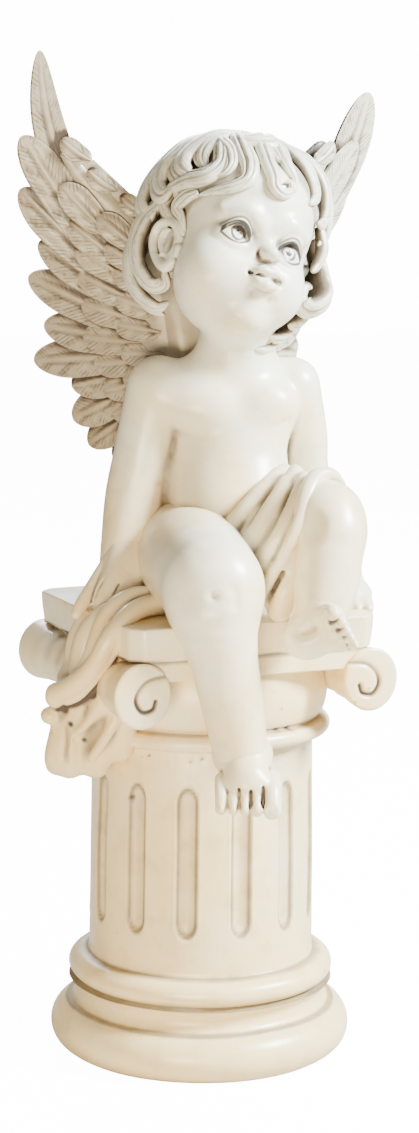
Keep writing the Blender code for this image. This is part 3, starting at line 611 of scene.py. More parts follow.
def trunk():
    """Masses of pelvis, belly, chest, shoulders and neck, then the arms and their creases."""
    clay = Clay((-52, -36, -6), (74, 42, 128), 1.0)
    clay.egg((7, 6, 14), (31, 25, 18), blend=6)
    clay.egg((9.5, 2, 50), (24, 19, 26), blend=9)
    clay.egg((11, -7, 36), (23, 20, 20), blend=9)
    clay.egg((9, 5, 74), (26, 17, 19), blend=8)
    clay.rod([(-16, -1, 84, 12), (9, 8, 88, 12.5), (33, 14, 84, 11.5)], blend=8)
    clay.rod([(10, 8, 90, 16), (13, 4, 112, 15)], blend=7)
    clay.egg((-16, 6, 52), (9, 8, 18), blend=5)
    clay.egg((-2, -8, 80), (12, 7, 8), blend=7)
    clay.egg((23, -2, 80), (11, 7, 8), blend=7)
    clay.rod([(-19, 0, 86, 12.7), (-24.5, 2, 64, 11.4), (-28.5, 2, 43, 11.6), (-31, -3, 26, 10.5),
              (-34, -9, 15, 8.0)], blend=2.0)
    clay.rod([(34, 14, 86, 11.7), (38.5, 17, 66, 10.6), (40, 18, 50, 10.2), (48, 15, 30, 9.4),
              (56.5, 8, 13, 6.4)], blend=2.0)
    # The left hand, flat on the capital behind the knee
    clay.egg((59, 0, 4), (8.5, 11, 5), blend=4)
    clay.rod([(56, 8, 13, 6), (60, 0, 4, 4.6)], blend=4)
    for x in (55, 59.5, 64):
        clay.rod([(x, -4, 3.2, 2.9), (x + 1, -11, 1.4, 2.6), (x + 1.4, -15, 0.2, 2.1)], blend=1.2)
    # Creases: under the chest, inside the right elbow and under the belly
    clay.rod([(-12, -8, 68, 0.9), (0, -14.5, 67, 1.0), (11, -16.5, 69, 0.8), (22, -14, 69, 1.0),
              (33, -5, 73, 0.9)], blend=2.5, cut=True)
    clay.rod([(-40, -3, 47, 0.7), (-33, -10, 46, 0.9), (-24, -10.5, 47, 0.9), (-18, -5, 48, 0.7)],
             blend=1.6, cut=True)
    clay.rod([(-8, -25, 29, 0.8), (6, -29, 26, 1.0), (20, -27, 29, 0.8)], blend=2.5, cut=True)
    add_piece("trunk", [clay.skin(gain=(1.3, 1.0))], smooth_finish)


trunk()


# The legs, cast in one with the trunk: the right one hangs over the capital's front edge,
# the left is drawn up with its foot turned in. Both are dimpled at the knee, and creased.
def legs():
    """Thigh, knee and shin of each side, with the creases cut as each is done."""
    clay = Clay((-34, -92, -62), (78, 30, 66), 1.0)
    clay.rod([(-8, 4, 20, 21), (-3, -28, 19, 21.5), (3, -56, 16, 19.5)], blend=5)
    clay.egg((4, -60, 12), (18.5, 15, 19), blend=4)
    clay.rod([(4, -61, 6, 16.5), (8, -62, -13, 13), (11.5, -62, -30, 12), (14.5, -62, -46, 10.4)],
             blend=4)
    clay.egg((3.6, -78.2, 15), (1.7, 3.0, 2.2), blend=1.6, cut=True)
    clay.rod([(-9, -74, 11, 0.7), (-8, -76, 7, 0.8), (-4, -77.5, 3, 0.6)], blend=2.0, cut=True)
    clay.rod([(8, -77.5, 22, 0.8), (12, -76, 17, 1.0), (12.5, -76, 11, 0.8)], blend=3, cut=True)
    clay.rod([(24, 4, 20, 20), (36, -18, 33, 18), (46, -38, 39, 15.5)], blend=5)
    clay.egg((47.5, -43, 36), (14, 13, 16.5), blend=4)
    clay.rod([(48.2, -46, 33, 13.2), (47, -50, 18, 12.4), (44.5, -54, 6, 10.5), (41, -57, -3, 8.5)],
             blend=4)
    clay.rod([(35, -57, 32.5, 0.7), (39, -60, 34, 1.2), (45, -61.5, 33.0, 1.0), (53, -60, 33.5, 0.8)],
             blend=2.5, cut=True)
    clay.egg((40, -58, 40), (3.5, 3, 6), blend=5, cut=True)
    clay.rod([(14.5, -74, -43.5, 0.5), (19, -73.5, -42.6, 0.6), (24, -68, -43, 0.5)],
             blend=1.0, cut=True)
    add_piece("legs", [clay.skin(gain=(1.1, 1.0))], smooth_finish)


legs()


# The feet and the right hand, cast in one with the limbs: each a plump pad with short
# round digits, deep gaps between them that hold the wash, and small nails.
def right_foot():
    """Heel, instep and ball, and five toes, each a bent rod with a sunk nail."""
    clay = Clay((-1, -92, -78), (34, -46, -38), 0.54)
    clay.egg((15.2, -58.5, -49), (11.6, 11.0, 9.5), blend=3)
    clay.rod([(15.8, -60, -50, 10.2), (17.2, -69, -57, 9.2)], blend=3)
    clay.egg((18.2, -71, -59), (12.2, 7.2, 5.8), blend=3)
    across = (7.4, 11.9, 16.3, 20.8, 26.4)
    girth = (2.45, 2.5, 2.6, 2.75, 3.9)
    for i, (x, size) in enumerate(zip(across, girth)):
        reach = -79.5 + 0.5 * abs(i - 3)
        clay.rod([(x, -69, -57, size + 0.3), (x, -75, -60.5, size), (x + 0.1, reach, -66, size * 0.97)],
                 blend=0.6)
        clay.egg((x, reach - size * 0.82, -65.6), (size * 0.62, 0.9, size * 0.8), blend=0.5, cut=True)
        clay.egg((x, reach - size * 0.42, -65.6), (size * 0.55, 1.3, size * 0.72), blend=0.3)
    for a, b in zip(across[:-1], across[1:]):
        middle = (a + b) / 2 - (0.5 if b > 25 else 0)
        clay.rod([(middle, -77, -57.5, 0.5), (middle, -79, -61.5, 0.95), (middle, -79.5, -69, 1.05)],
                 blend=0.8, cut=True)
    add_piece("right_foot", [clay.skin(0.9, 2.6, (2.6, 1.4))], smooth_finish)


def unit(v):
    """The same direction, at length 1."""
    v = np.asarray(v, float)
    return v / np.linalg.norm(v)


def left_foot():
    """The sole faces the viewer: a pad along it, and toes whose round ends face out of it."""
    clay = Clay((24, -84, -20), (72, -40, 26), 0.52)
    long = unit((0.845, -0.30, 0.43))
    flat = unit((-0.2, -0.92, -0.3))
    wide = np.cross(long, flat)
    sole = np.stack([long, wide, flat], 1)

    def on_sole(point):
        """From (along, across, out of the sole) at the heel to figure millimetres."""
        return (38.0, -58.5, -4.0) + sole @ np.asarray(point, float)

    clay.rod([(44.5, -54, 7, 10.5), (41, -57, -3, 8.5)], blend=3)
    for place, radii in (((0, 0, 0), (8.2, 8, 7.5)), ((6, 0, 0), (9.5, 8.2, 6.5)),
                         ((12.3, 1, 0.2), (6.6, 9.8, 6))):
        clay.egg(on_sole(place), radii, sole, blend=3)
    # The ball under the big toe, the arch beside it, and the toes with their round pads
    clay.egg(on_sole((12.6, -3.6, 3.4)), (4.4, 4.0, 2.9), sole, blend=2.5)
    clay.egg(on_sole((12.8, 4.2, 3.2)), (3.8, 4.4, 2.6), sole, blend=2.5)
    clay.egg(on_sole((6, -5.6, 6.6)), (5.0, 2.8, 1.8), sole, blend=3.5, cut=True)
    offsets = (-6.6, -1.7, 2.2, 5.5, 8.4)
    girth = (3.3, 2.35, 2.25, 2.15, 2.05)
    for i, (offset, size) in enumerate(zip(offsets, girth)):
        root = 13.5 + 0.8 * i
        tip = 20.6 - size - 0.1 * i
        clay.rod([(*on_sole((root, offset, 2.4)), size * 0.85), (*on_sole((tip, offset, 4.0)), size)],
                 blend=0.6)
        clay.egg(on_sole((tip + 0.2, offset, 4.0 + size * 0.55)),
                 (size * 0.85, size * 0.8, size * 0.65), sole, blend=0.5)
        crease = 14.6 + 0.85 * i
        clay.rod([(*on_sole((crease, offset - size, 6.2)), 0.5),
                  (*on_sole((crease + 0.4, offset, 6.9)), 0.75),
                  (*on_sole((crease, offset + size, 6.2)), 0.5)], blend=0.9, cut=True)
    for i in range(4):
        middle = (offsets[i] + girth[i] + offsets[i + 1] - girth[i + 1]) / 2
        clay.rod([(*on_sole((15.4 + 0.8 * i, middle, 6.2)), 0.8), (*on_sole((21, middle, 6.6)), 1.1)],
                 blend=0.7, cut=True)
    clay.rod([(*on_sole((2, -8.6, 3)), 0.5), (*on_sole((8, -9.2, 4.6)), 0.6),
              (*on_sole((13, -9.0, 4.0)), 0.5)], blend=1.2, cut=True)
    add_piece("left_foot", [clay.skin(0.9, 2.6, (2.9, 1.5))], smooth_finish)


def right_hand():
    """The hand's back, its inner side and the forefinger, and the two gaps by the fingers."""
    clay = Clay((-62, -42, -14), (-18, 2, 30), 0.54)
    clay.rod([(-31, -6, 22, 8.4), (-32.5, -14, 15, 8.0), (-35.5, -21, 8, 7.0), (-38.5, -25, 3, 5.6)],
             blend=2)
    clay.rod([(-27, -9, 20, 6.5), (-28.5, -18, 11, 5.6), (-32, -25, 6, 4.6),
              (-35.5, -28.5, 2.0, 3.8)], blend=1.5)
    clay.rod([(-37.0, -12, 18, 3.6), (-41.6, -17.5, 11.6, 3.3), (-45.6, -20.5, 5.6, 3.1),
              (-48.6, -23, 1.4, 2.7), (-50.2, -24.5, -1.6, 2.1)], blend=0.9)
    clay.rod([(-39.6, -24.5, 12.5, 0.5), (-42.6, -25.5, 6.5, 1.1), (-44.4, -27.5, 0.5, 1.5)],
             blend=0.8, cut=True)
    clay.rod([(-33.5, -26.5, 11.0, 0.3), (-36.8, -31.0, 5.0, 0.7), (-39.0, -33.0, 1.0, 0.7)],
             blend=1.0, cut=True)
    add_piece("right_hand", [clay.skin(0.9, 2.6, (2.2, 1.2))], smooth_finish)


right_foot()
left_foot()
right_hand()


# The head: a small child's, cast with the trunk, turned to the viewer's right, tilted back
# and leaned over, with chubby cheeks, a button nose, parted lips and wide eyes, whose lids
# and rings are incised and hold the wash.
HEAD = np.array([11.5, 2.0, 150.0])


def head_axes(tilt, turn, lean):
    """Columns are the head's side, front and crown in figure millimetres."""
    tilted = np.array([[1, 0, 0], [0, -cos(tilt), sin(tilt)], [0, sin(tilt), cos(tilt)]])
    spin = np.array([[cos(turn), -sin(turn), 0], [sin(turn), cos(turn), 0], [0, 0, 1]])
    roll = np.array([[cos(lean), 0, sin(lean)], [0, 1, 0], [-sin(lean), 0, cos(lean)]])
    return roll @ spin @ tilted


AXES = head_axes(radians(20), radians(22), radians(19))


def to_figure(points):
    """From the frame, in metres, back to figure millimetres."""
    x, y, z = np.moveaxis(np.asarray(points, float), -1, 0) * 1000
    across = x * cos(TURN) + y * sin(TURN)
    back = y * cos(TURN) - x * sin(TURN)
    return np.stack([across, back, z - SEAT * 1000], -1)


def on_head(points):
    """From the head's (side, front, crown) to figure millimetres."""
    return HEAD + np.asarray(points, float) @ AXES.T


def eye_lines(start):
    """Engraved lines of the eyes, from the flat (side, crown) map in centimetres: two lid
    arcs as parabolas, a crease above the upper one, and the rings of iris and pupil."""
    flat = start.node("UVMap", {"uv_map": "flat"})
    side = start.node("SeparateXYZ", {}, {0: flat}, output=0) * 10.0
    crown = start.node("SeparateXYZ", {}, {0: flat}, output=1) * 10.0
    front = start.node("Attribute", {"attribute_name": "front"}, output=2)
    u = side.size() - 12.0
    v = crown + 13.5 + side * 0.05

    def arc(height, level, half, width):
        """A line along a parabola: 1 on it, and 0 beyond its width and its ends."""
        curve = level + height * (1.0 - (u / half) ** 2.0)
        slope = (1.0 + (u * (2.0 * height / half ** 2)) ** 2.0) ** 0.5
        gap = ((v - curve) / slope).size()
        ends = 1.0 - (u.size() - half).step(-0.5, 0.2)
        return (1.0 - gap.step(width * 0.5, width)) * ends

    upper = arc(4.5, 0.1, 6.2, 1.15)
    crease = arc(4.9, 1.7, 6.6, 0.60) * 0.75
    lower = arc(-2.5, -0.1, 6.0, 0.62) * 0.9
    open_eye = 1.0 - (v - (0.1 + 4.5 * (1.0 - (u / 6.2) ** 2.0))).step(-0.1, 0.2)
    gaze = u + 0.7
    far = (gaze ** 2.0 + (v - 1.2) ** 2.0) ** 0.5
    # A painted highlight: the pupil is left light at its glint
    glint = 1.0 - ((gaze + 0.6) ** 2.0 + (v - 1.9) ** 2.0).step(0.06, 0.26)
    iris = (1.0 - (far - 2.8).size().step(0.34, 0.74)) * open_eye
    pupil = (1.0 - far.step(1.1, 1.6)) * open_eye * (1.0 - glint)
    lines = upper.maths("MAXIMUM", crease).maths("MAXIMUM", lower)
    lines = lines.maths("MAXIMUM", iris * 0.9).maths("MAXIMUM", pupil)
    return lines * front.step(10.0, 16.0)


def head():
    """Masses given as (side, front, crown) on the head's own axes: skull, jaw and cheeks,
    then each side's eye, lids, nose wing, half of the lips and ear, then the middle."""
    clay = Clay((-32, -48, 100), (56, 46, 196), 0.60)

    def egg(place, radii, blend=4.0, cut=False):
        """An ellipsoid along the head's axes."""
        clay.egg(on_head(place), radii, AXES, blend, cut)

    def rod(points, blend=2.0, cut=False):
        """A rod through points on the head."""
        clay.rod([(*on_head(p[:3]), p[3]) for p in points], blend, cut=cut)

    egg((0, -3, 3), (30, 34, 30.5))
    egg((0, 6, -17), (24.8, 22, 26), 8)
    egg((1, 5, -31), (20.6, 18, 14.6), 8)
    egg((2.5, 18.5, -39.8), (8, 7, 6.3), 7)
    egg((0, 12, 6), (22, 18, 18), 8)
    egg((1, 20, -27), (10, 9.4, 8), 6)
    clay.rod([(12.0, 5, 104, 14.5), (12.5, 3, 116, 15)], 8)
    # The nose and the mouth lie a little to the left of the middle
    nose = 2.3
    lip = 2.8
    for s in (-1, 1):
        egg((s * 13.8, 14.5, -25.5), (11.8, 12.8, 12), 8)
        egg((s * 12, 31.5, -13), (8.2, 5.0, 5.8), 4, True)
        egg((s * 12, 20.9, -13.2), (7.6, 6.6, 6.4), 1.2)
        # Lids: a full upper one and a thin lower one, meeting at the corners
        rod([(s * 5.2, 26.6, -13.4, 0.6), (s * 8.5, 28.5, -9.4, 1.2), (s * 12, 28.4, -7.8, 1.35),
             (s * 15.8, 26.1, -9.6, 1.15), (s * 18.8, 22.3, -13.2, 0.7)], 1.2)
        rod([(s * 5.4, 26.2, -14.0, 0.5), (s * 9, 26.9, -16.2, 0.9), (s * 12.5, 26.3, -17.0, 1.0),
             (s * 16, 24.2, -16.0, 0.9), (s * 18.6, 22.0, -13.8, 0.5)], 1.6)
        rod([(s * 4, 28.8, -6.0, 1.6), (s * 10, 29.6, -2.8, 2.2), (s * 18, 24.7, -4.4, 1.8)], 5)
        # Nose wing and nostril
        egg((nose + s * 2.3, 29.6, -17.0), (1.4, 2.0, 1.25), 1.3)
        egg((nose + s * 1.5, 30.9, -18.1), (1.0, 1.8, 0.9), 0.5, True)
        rod([(nose + s * 4.0, 28.8, -15.8, 0.35), (nose + s * 4.4, 28.4, -17.4, 0.5),
             (nose + s * 3.5, 28.9, -18.8, 0.4)], 1.0, True)
        # Lips: each half of the bow and of the fuller lower lip
        rod([(lip + s * 6.0, 27.8, -25.4, 1.1), (lip + s * 4.0, 30.4, -24.7, 2.0),
             (lip + s * 1.8, 31.6, -24.0, 2.15), (lip, 31.5, -24.6, 1.8)], 1.0)
        rod([(lip + s * 5.4, 27.8, -26.8, 1.1), (lip + s * 3.0, 30.1, -28.5, 2.1),
             (lip, 30.7, -29.1, 2.3)], 1.2)
        egg((lip + s * 6.8, 28.8 + 0.4 * s, -25.7), (0.8 + 0.3 * s, 1.6, 0.9 + 0.4 * s), 2.0, True)
        # Ear: the rim, the inner fold, the lobe and the deep bowl between
        rod([(s * 26.4, 9.0, -16.4, 1.2), (s * 29.0, 7.8, -11.2, 1.6), (s * 30.8, 3.0, -8.8, 1.8),
             (s * 32.2, -2.2, -10.8, 1.9), (s * 32.0, -4.4, -16.6, 1.8), (s * 30.4, -2.0, -22.8, 1.8),
             (s * 28.0, 2.6, -26.4, 2.3), (s * 26.4, 5.8, -24.2, 1.9)], 1.0)
        egg((s * 27.4, 2.4, -17.2), (2.0, 5.8, 8.0), 1.2)
        rod([(s * 28.6, 5.6, -12.8, 0.9), (s * 30.6, 1.4, -12.4, 1.1), (s * 30.8, -0.5, -16.4, 1.1),
             (s * 29.4, 1.2, -21.2, 1.0)], 0.7)
        egg((s * 30.6, 4.0, -17.0), (3.6, 3.4, 4.8), 0.8, True)
        rod([(s * 30.8, 5.8, -12.2, 0.9), (s * 32.4, 1.2, -10.6, 1.0), (s * 33.2, -2.0, -14.6, 1.0),
             (s * 32.0, -1.2, -20.2, 0.9)], 0.7, True)
        rod([(s * 27.0, 9.2, -19.6, 1.5), (s * 26.8, 8.6, -21.8, 1.3)], 1.0)
    rod([(0, 26.2, -9, 2.0), (nose * 0.6, 28.2, -13, 1.8), (nose, 30.4, -15.8, 2.0)], 4)
    egg((nose, 31.6, -16.4), (2.3, 2.3, 1.85), 1.5)
    rod([(nose, 31.0, -20.2, 0.7), (lip - 0.3, 31.8, -22.2, 0.8)], 1.6, True)
    # The parted mouth, darker at its left corner, and the hollow under the lip
    rod([(lip - 5.4, 29.2, -25.6, 0.5), (lip - 2.6, 32.2, -26.2, 0.9), (lip, 33.4, -26.6, 1.2),
         (lip + 2.8, 32.2, -26.4, 1.4), (lip + 5.6, 29.4, -26.0, 1.5)], 0.6, True)
    rod([(lip - 3.5, 28.6, -33.6, 0.6), (lip, 29.6, -34.2, 0.8), (lip + 4.5, 28.2, -33.6, 0.6)], 4, True)
    points, quads, fans, recess = clay.skin(0.9, 3.0, (1.9, 1.0))
    local = (to_figure(points) - HEAD) @ AXES
    # Under the hair the scalp is left rough and dark with wash
    hairline = 15 - 0.03 * local[:, 0] ** 2 - 0.9 * np.maximum(0, 13 - local[:, 1])
    scalp = np.clip((local[:, 2] - hairline) / 4, 0, 1) * (np.abs(local[:, 0]) < 29.5)
    recess = np.maximum(recess, 0.5 * scalp)
    finish = resin("ivory resin, face", 0.9, 0.0, eye_lines)
    piece = add_piece("head", [(points, quads, fans, recess)], finish, local[:, [0, 2]] / 10)
    layer = piece.data.attributes.new("front", "FLOAT", "POINT")
    layer.data.foreach_set("value", local[:, 1].astype(np.float32))


head()


# The hair: thick loose locks, each a flattened grooved tail that swells and then hooks,
# modelled over the skull and undercut, so that the wash lies dark between them.
def strand_lines(start):
    """Engraved strands, from the flat (along, across) map of each lock in centimetres: a
    cosine of the distance across, swayed and broken by noise along the lock."""
    flat = start.node("UVMap", {"uv_map": "flat"})
    across = start.node("SeparateXYZ", {}, {0: flat}, output=1) * 10.0
    sway = (flat.noise(1.6, 2.0) - 0.5) * 2.4
    stroke = 0.5 + (across / 1.25 + sway).maths("MULTIPLY", tau).maths("COSINE") * 0.5
    return stroke ** 3.0 * flat.noise(2.2, 2.0).step(0.42, 0.62) * 0.42


def lock(path, width, thick, steps=8, wander=0.0):
    """A profile carried along a path of head points: a flat arch with two sharp grooves
    that wander a little across it, swelling and then tapering with the length."""
    groove_depth = 0.34
    skull = np.array([30.0, 34.0, 30.5])
    skull_middle = (0, -3, 3)
    line = smooth_path(path, steps)
    count = len(line)
    t = np.linspace(0, 1, count)[:, None]
    along = np.gradient(line, axis=0)
    along /= np.linalg.norm(along, axis=1)[:, None]
    out = (line - skull_middle) / skull ** 2
    out -= (out * along).sum(1)[:, None] * along
    out /= np.linalg.norm(out, axis=1)[:, None]
    side = np.cross(along, out)
    swell = np.minimum(1, 0.6 + 1.6 * t) * np.clip((1 - t) / 0.62, 0, 1) ** 0.62
    swell = np.maximum(swell, 0.05)
    phi = pi * np.concatenate([np.linspace(0.04, 0.96, 25), np.linspace(1.08, 1.92, 5)])
    x = np.cos(phi)
    face = np.sin(phi) > 0
    drift = 0.24 * np.sin(4 * t + wander)
    hollow = np.exp(-((x + 0.36 + drift) / 0.13) ** 2) + 0.7 * np.exp(-((x - 0.40 + drift) / 0.10) ** 2)
    hollow = hollow * face * np.clip((1 - t) / 0.2, 0, 1)
    height = np.sin(phi) * (1 - groove_depth * hollow)
    rings = (line[:, None] + side[:, None] * (width * swell * x)[..., None]
             + out[:, None] * (thick * swell ** 0.6 * height)[..., None])
    recess = 0.50 * hollow + 0.9 * np.clip(0.42 - np.sin(phi), 0, 1) + 0.04
    gone = np.cumsum(np.linalg.norm(np.diff(line, axis=0), axis=1))
    gone = np.concatenate([[0], gone])[:, None]
    flat = np.stack([gone + 20 * wander + 0 * x, width * swell * x], -1) / 10
    flat = np.concatenate([flat.reshape(-1, 2), flat[:1].mean(1), flat[-1:].mean(1)])
    return closed_skin(to_frame(on_head(rings)), recess), flat


def hair():
    """Locks placed one by one round the face, then a spiral of like ones over the rest."""
    # Each lock is a path of (side, front, crown), its half width and its thickness
    placed = [
        ([(-17, 8, 29), (-20, 15, 23), (-21, 20, 14), (-25.5, 19, 8), (-29.5, 12, 6.5), (-31.5, 3, 4),
          (-32, 0, -2), (-30, 4, -8), (-27.5, 9, -11), (-25, 10, -15)], 3.0, 3.4),
        ([(-26, 16, 2), (-29, 12, 0), (-30.5, 8.5, -4), (-28.5, 10.5, -8), (-26, 11, -13)], 2.3, 2.6),
        ([(-11, 9, 32), (-14, 15, 28), (-13.5, 21.5, 22), (-12.0, 27, 15), (-13, 29.5, 8.5),
          (-17.5, 27.5, 4.5), (-23, 22.5, 2), (-27, 17.5, 0)], 2.9, 3.4),
        ([(-17, 9, 29), (-19.5, 14, 25), (-18, 19.5, 20.5), (-18.5, 24, 14), (-21, 23.5, 9.5),
          (-25, 19, 7)], 2.4, 2.8),
        ([(-5, 10, 33), (-7, 17, 30), (-6.5, 23, 25), (-5.5, 28.5, 18), (-3.5, 31.5, 12.5),
          (-2.5, 33, 8), (1.6, 32.8, 6.8), (4.8, 32, 9.6), (3.6, 31.9, 12.6),
          (1.0, 32.4, 11.4)], 2.5, 3.0),
        ([(-1, 9, 34), (0, 16, 31.5), (1, 22, 27), (2.5, 27, 21), (6, 29.5, 15),
          (7, 31.5, 9.5)], 3.0, 3.0),
        ([(-3, 14, 32.5), (-3, 20, 28), (-1.5, 25, 23), (2, 28, 19)], 2.2, 2.4),
        ([(-10, 4, 34), (-18, 7, 29.5), (-23.5, 9, 24), (-26, 12, 17), (-24.5, 16.5, 11)], 4.6, 2.6),
        ([(-17, -2, 31), (-26, -1, 23.5), (-31, 2, 14), (-31, 6.5, 7), (-31, 6, 0)], 4.6, 2.6),
        ([(6, 8, 34.5), (10, 15, 30), (15, 19, 25), (18.5, 22, 18), (18.5, 25.5, 12),
          (15, 28, 8)], 3.6, 3.4),
        ([(-8, 4, 34), (-20, 5, 29), (-28, 3, 20), (-31, 6, 13), (-29, 11, 9),
          (-25, 14, 12)], 4.6, 3.6),
        ([(-10, -4, 34), (-24, -4, 27), (-32, -7, 16), (-34, -5, 6), (-34, 2, 1),
          (-32, 6, 5)], 5.2, 4.0),
        ([(-14, -12, 31), (-27, -13, 22), (-33, -16, 10), (-36, -13, -1), (-35, -7, -6),
          (-33, -4, -2)], 5.2, 4.0),
        ([(8, 8, 34), (17, 13, 30), (25, 16, 22), (28, 17, 13), (27, 19, 6), (23, 23, 4)], 4.2, 3.4),
        ([(10, 3, 35), (22, 7, 29), (30, 9, 20), (32, 12, 10), (32, 12, 2), (28, 17, -2)], 4.8, 3.6),
        ([(29, 13, 6), (32, 13, -2), (31, 13, -9), (28, 16, -13)], 3.4, 3.0),
        ([(30, 5, 2), (35, 6, -7), (37, 8, -16), (36, 12, -23), (31, 13, -27), (27, 12, -24),
          (28, 12, -19), (31, 13, -18)], 5.0, 4.6),
        ([(31, -4, -8), (35, -2, -16), (35, 1, -25), (31, 5, -32), (27, 7, -34)], 4.6, 4.0),
        ([(28, -10, -16), (31, -8, -24), (31, -3, -33), (26, 2, -39), (21, 4, -40)], 4.2, 3.6),
        ([(24, -12, -22), (27, -10, -31), (26, -5, -40), (21, 0, -45), (16, 2, -46)], 4.0, 3.4),
        ([(-30, -5, 2), (-35, -9, -6), (-36, -11, -16), (-34, -9, -26), (-29, -4, -33), (-25, -1, -31),
          (-27, 0, -26)], 4.4, 3.8),
        ([(-30, -14, -4), (-34, -17, -14), (-34, -17, -25), (-30, -13, -35), (-24, -7, -40),
          (-20, -5, -37)], 4.6, 3.8),
        ([(-27, -20, -8), (-30, -22, -18), (-29, -20, -29), (-24, -15, -38),
          (-18, -11, -41)], 4.4, 3.6),
    ]
    locks = [lock(path, width * 1.36, thick * 0.9, wander=2.4 * i)
             for i, (path, width, thick) in enumerate(placed)]
    # The rest of the head: locks a golden angle apart, which spring from the crown and hook
    # left and right in turn
    cap = np.array([31.0, 35.0, 31.5])
    count = 58
    golden = pi * (3 - 5 ** 0.5)
    for i in range(count):
        up = 1 - 1.62 * (i + 0.5) / count
        turn = golden * i
        ring = (1 - up * up) ** 0.5
        out = np.array([ring * sin(turn), ring * cos(turn), up])
        if out[1] > 0.12 and out[2] < 0.80:
            continue
        if abs(out[0]) > 0.55 and out[1] > -0.42 and out[2] < 0.25:
            continue
        along = unit(np.cross(out, (0.25, 0.2, 1.0)))
        down = np.cross(out, along)
        if down[2] > 0:
            down = -down
        hook = 1.0 if i % 2 else -1.0
        t = np.linspace(0, 1, 6)[:, None]
        path = out * cap + down * (-10 + 21 * t) + along * 7.5 * hook * np.sin(3.6 * t)
        rise = 1.0 + 0.05 * np.sin(pi * t)
        path = path / np.linalg.norm(path / cap, axis=1)[:, None] * rise + (0, -3, 3)
        locks.append(lock(path, 6.4, 3.7, 6, 1.7 * i))
    finish = resin("ivory resin, hair", 1.0, 0.16, strand_lines)
    maps = np.concatenate([flat for _, flat in locks])
    add_piece("hair", [skin for skin, _ in locks], finish, maps)


hair()


# The wings: a child's, raised and cupped forwards at the top. Each is a thick cast slab
# carved on both faces with rows of broad feathers that droop at the bottom and rise at
# the top, each with a light raised shaft and rim and dark slanting barbs.
def barb_lines(start):
    """Engraved barbs, from the flat (along, across) map of each feather in centimetres:
    strokes that slant back from the shaft, as a cosine of along less across."""
    flat = start.node("UVMap", {"uv_map": "flat"})
    along = start.node("SeparateXYZ", {}, {0: flat}, output=0) * 10.0
    across = (start.node("SeparateXYZ", {}, {0: flat}, output=1) * 10.0).size()
    place = start.node("TexCoord", output=3)
    sway = (place.noise(110.0, 2.0) - 0.5) * 1.6
    stroke = 0.5 + ((along - across * 1.25) / 2.3 + sway).maths("MULTIPLY", tau).maths("COSINE") * 0.5
    broken = place.noise(260.0, 2.0).step(0.40, 0.58)
    return stroke ** 3.0 * broken * across.step(0.6, 2.2) * 0.62


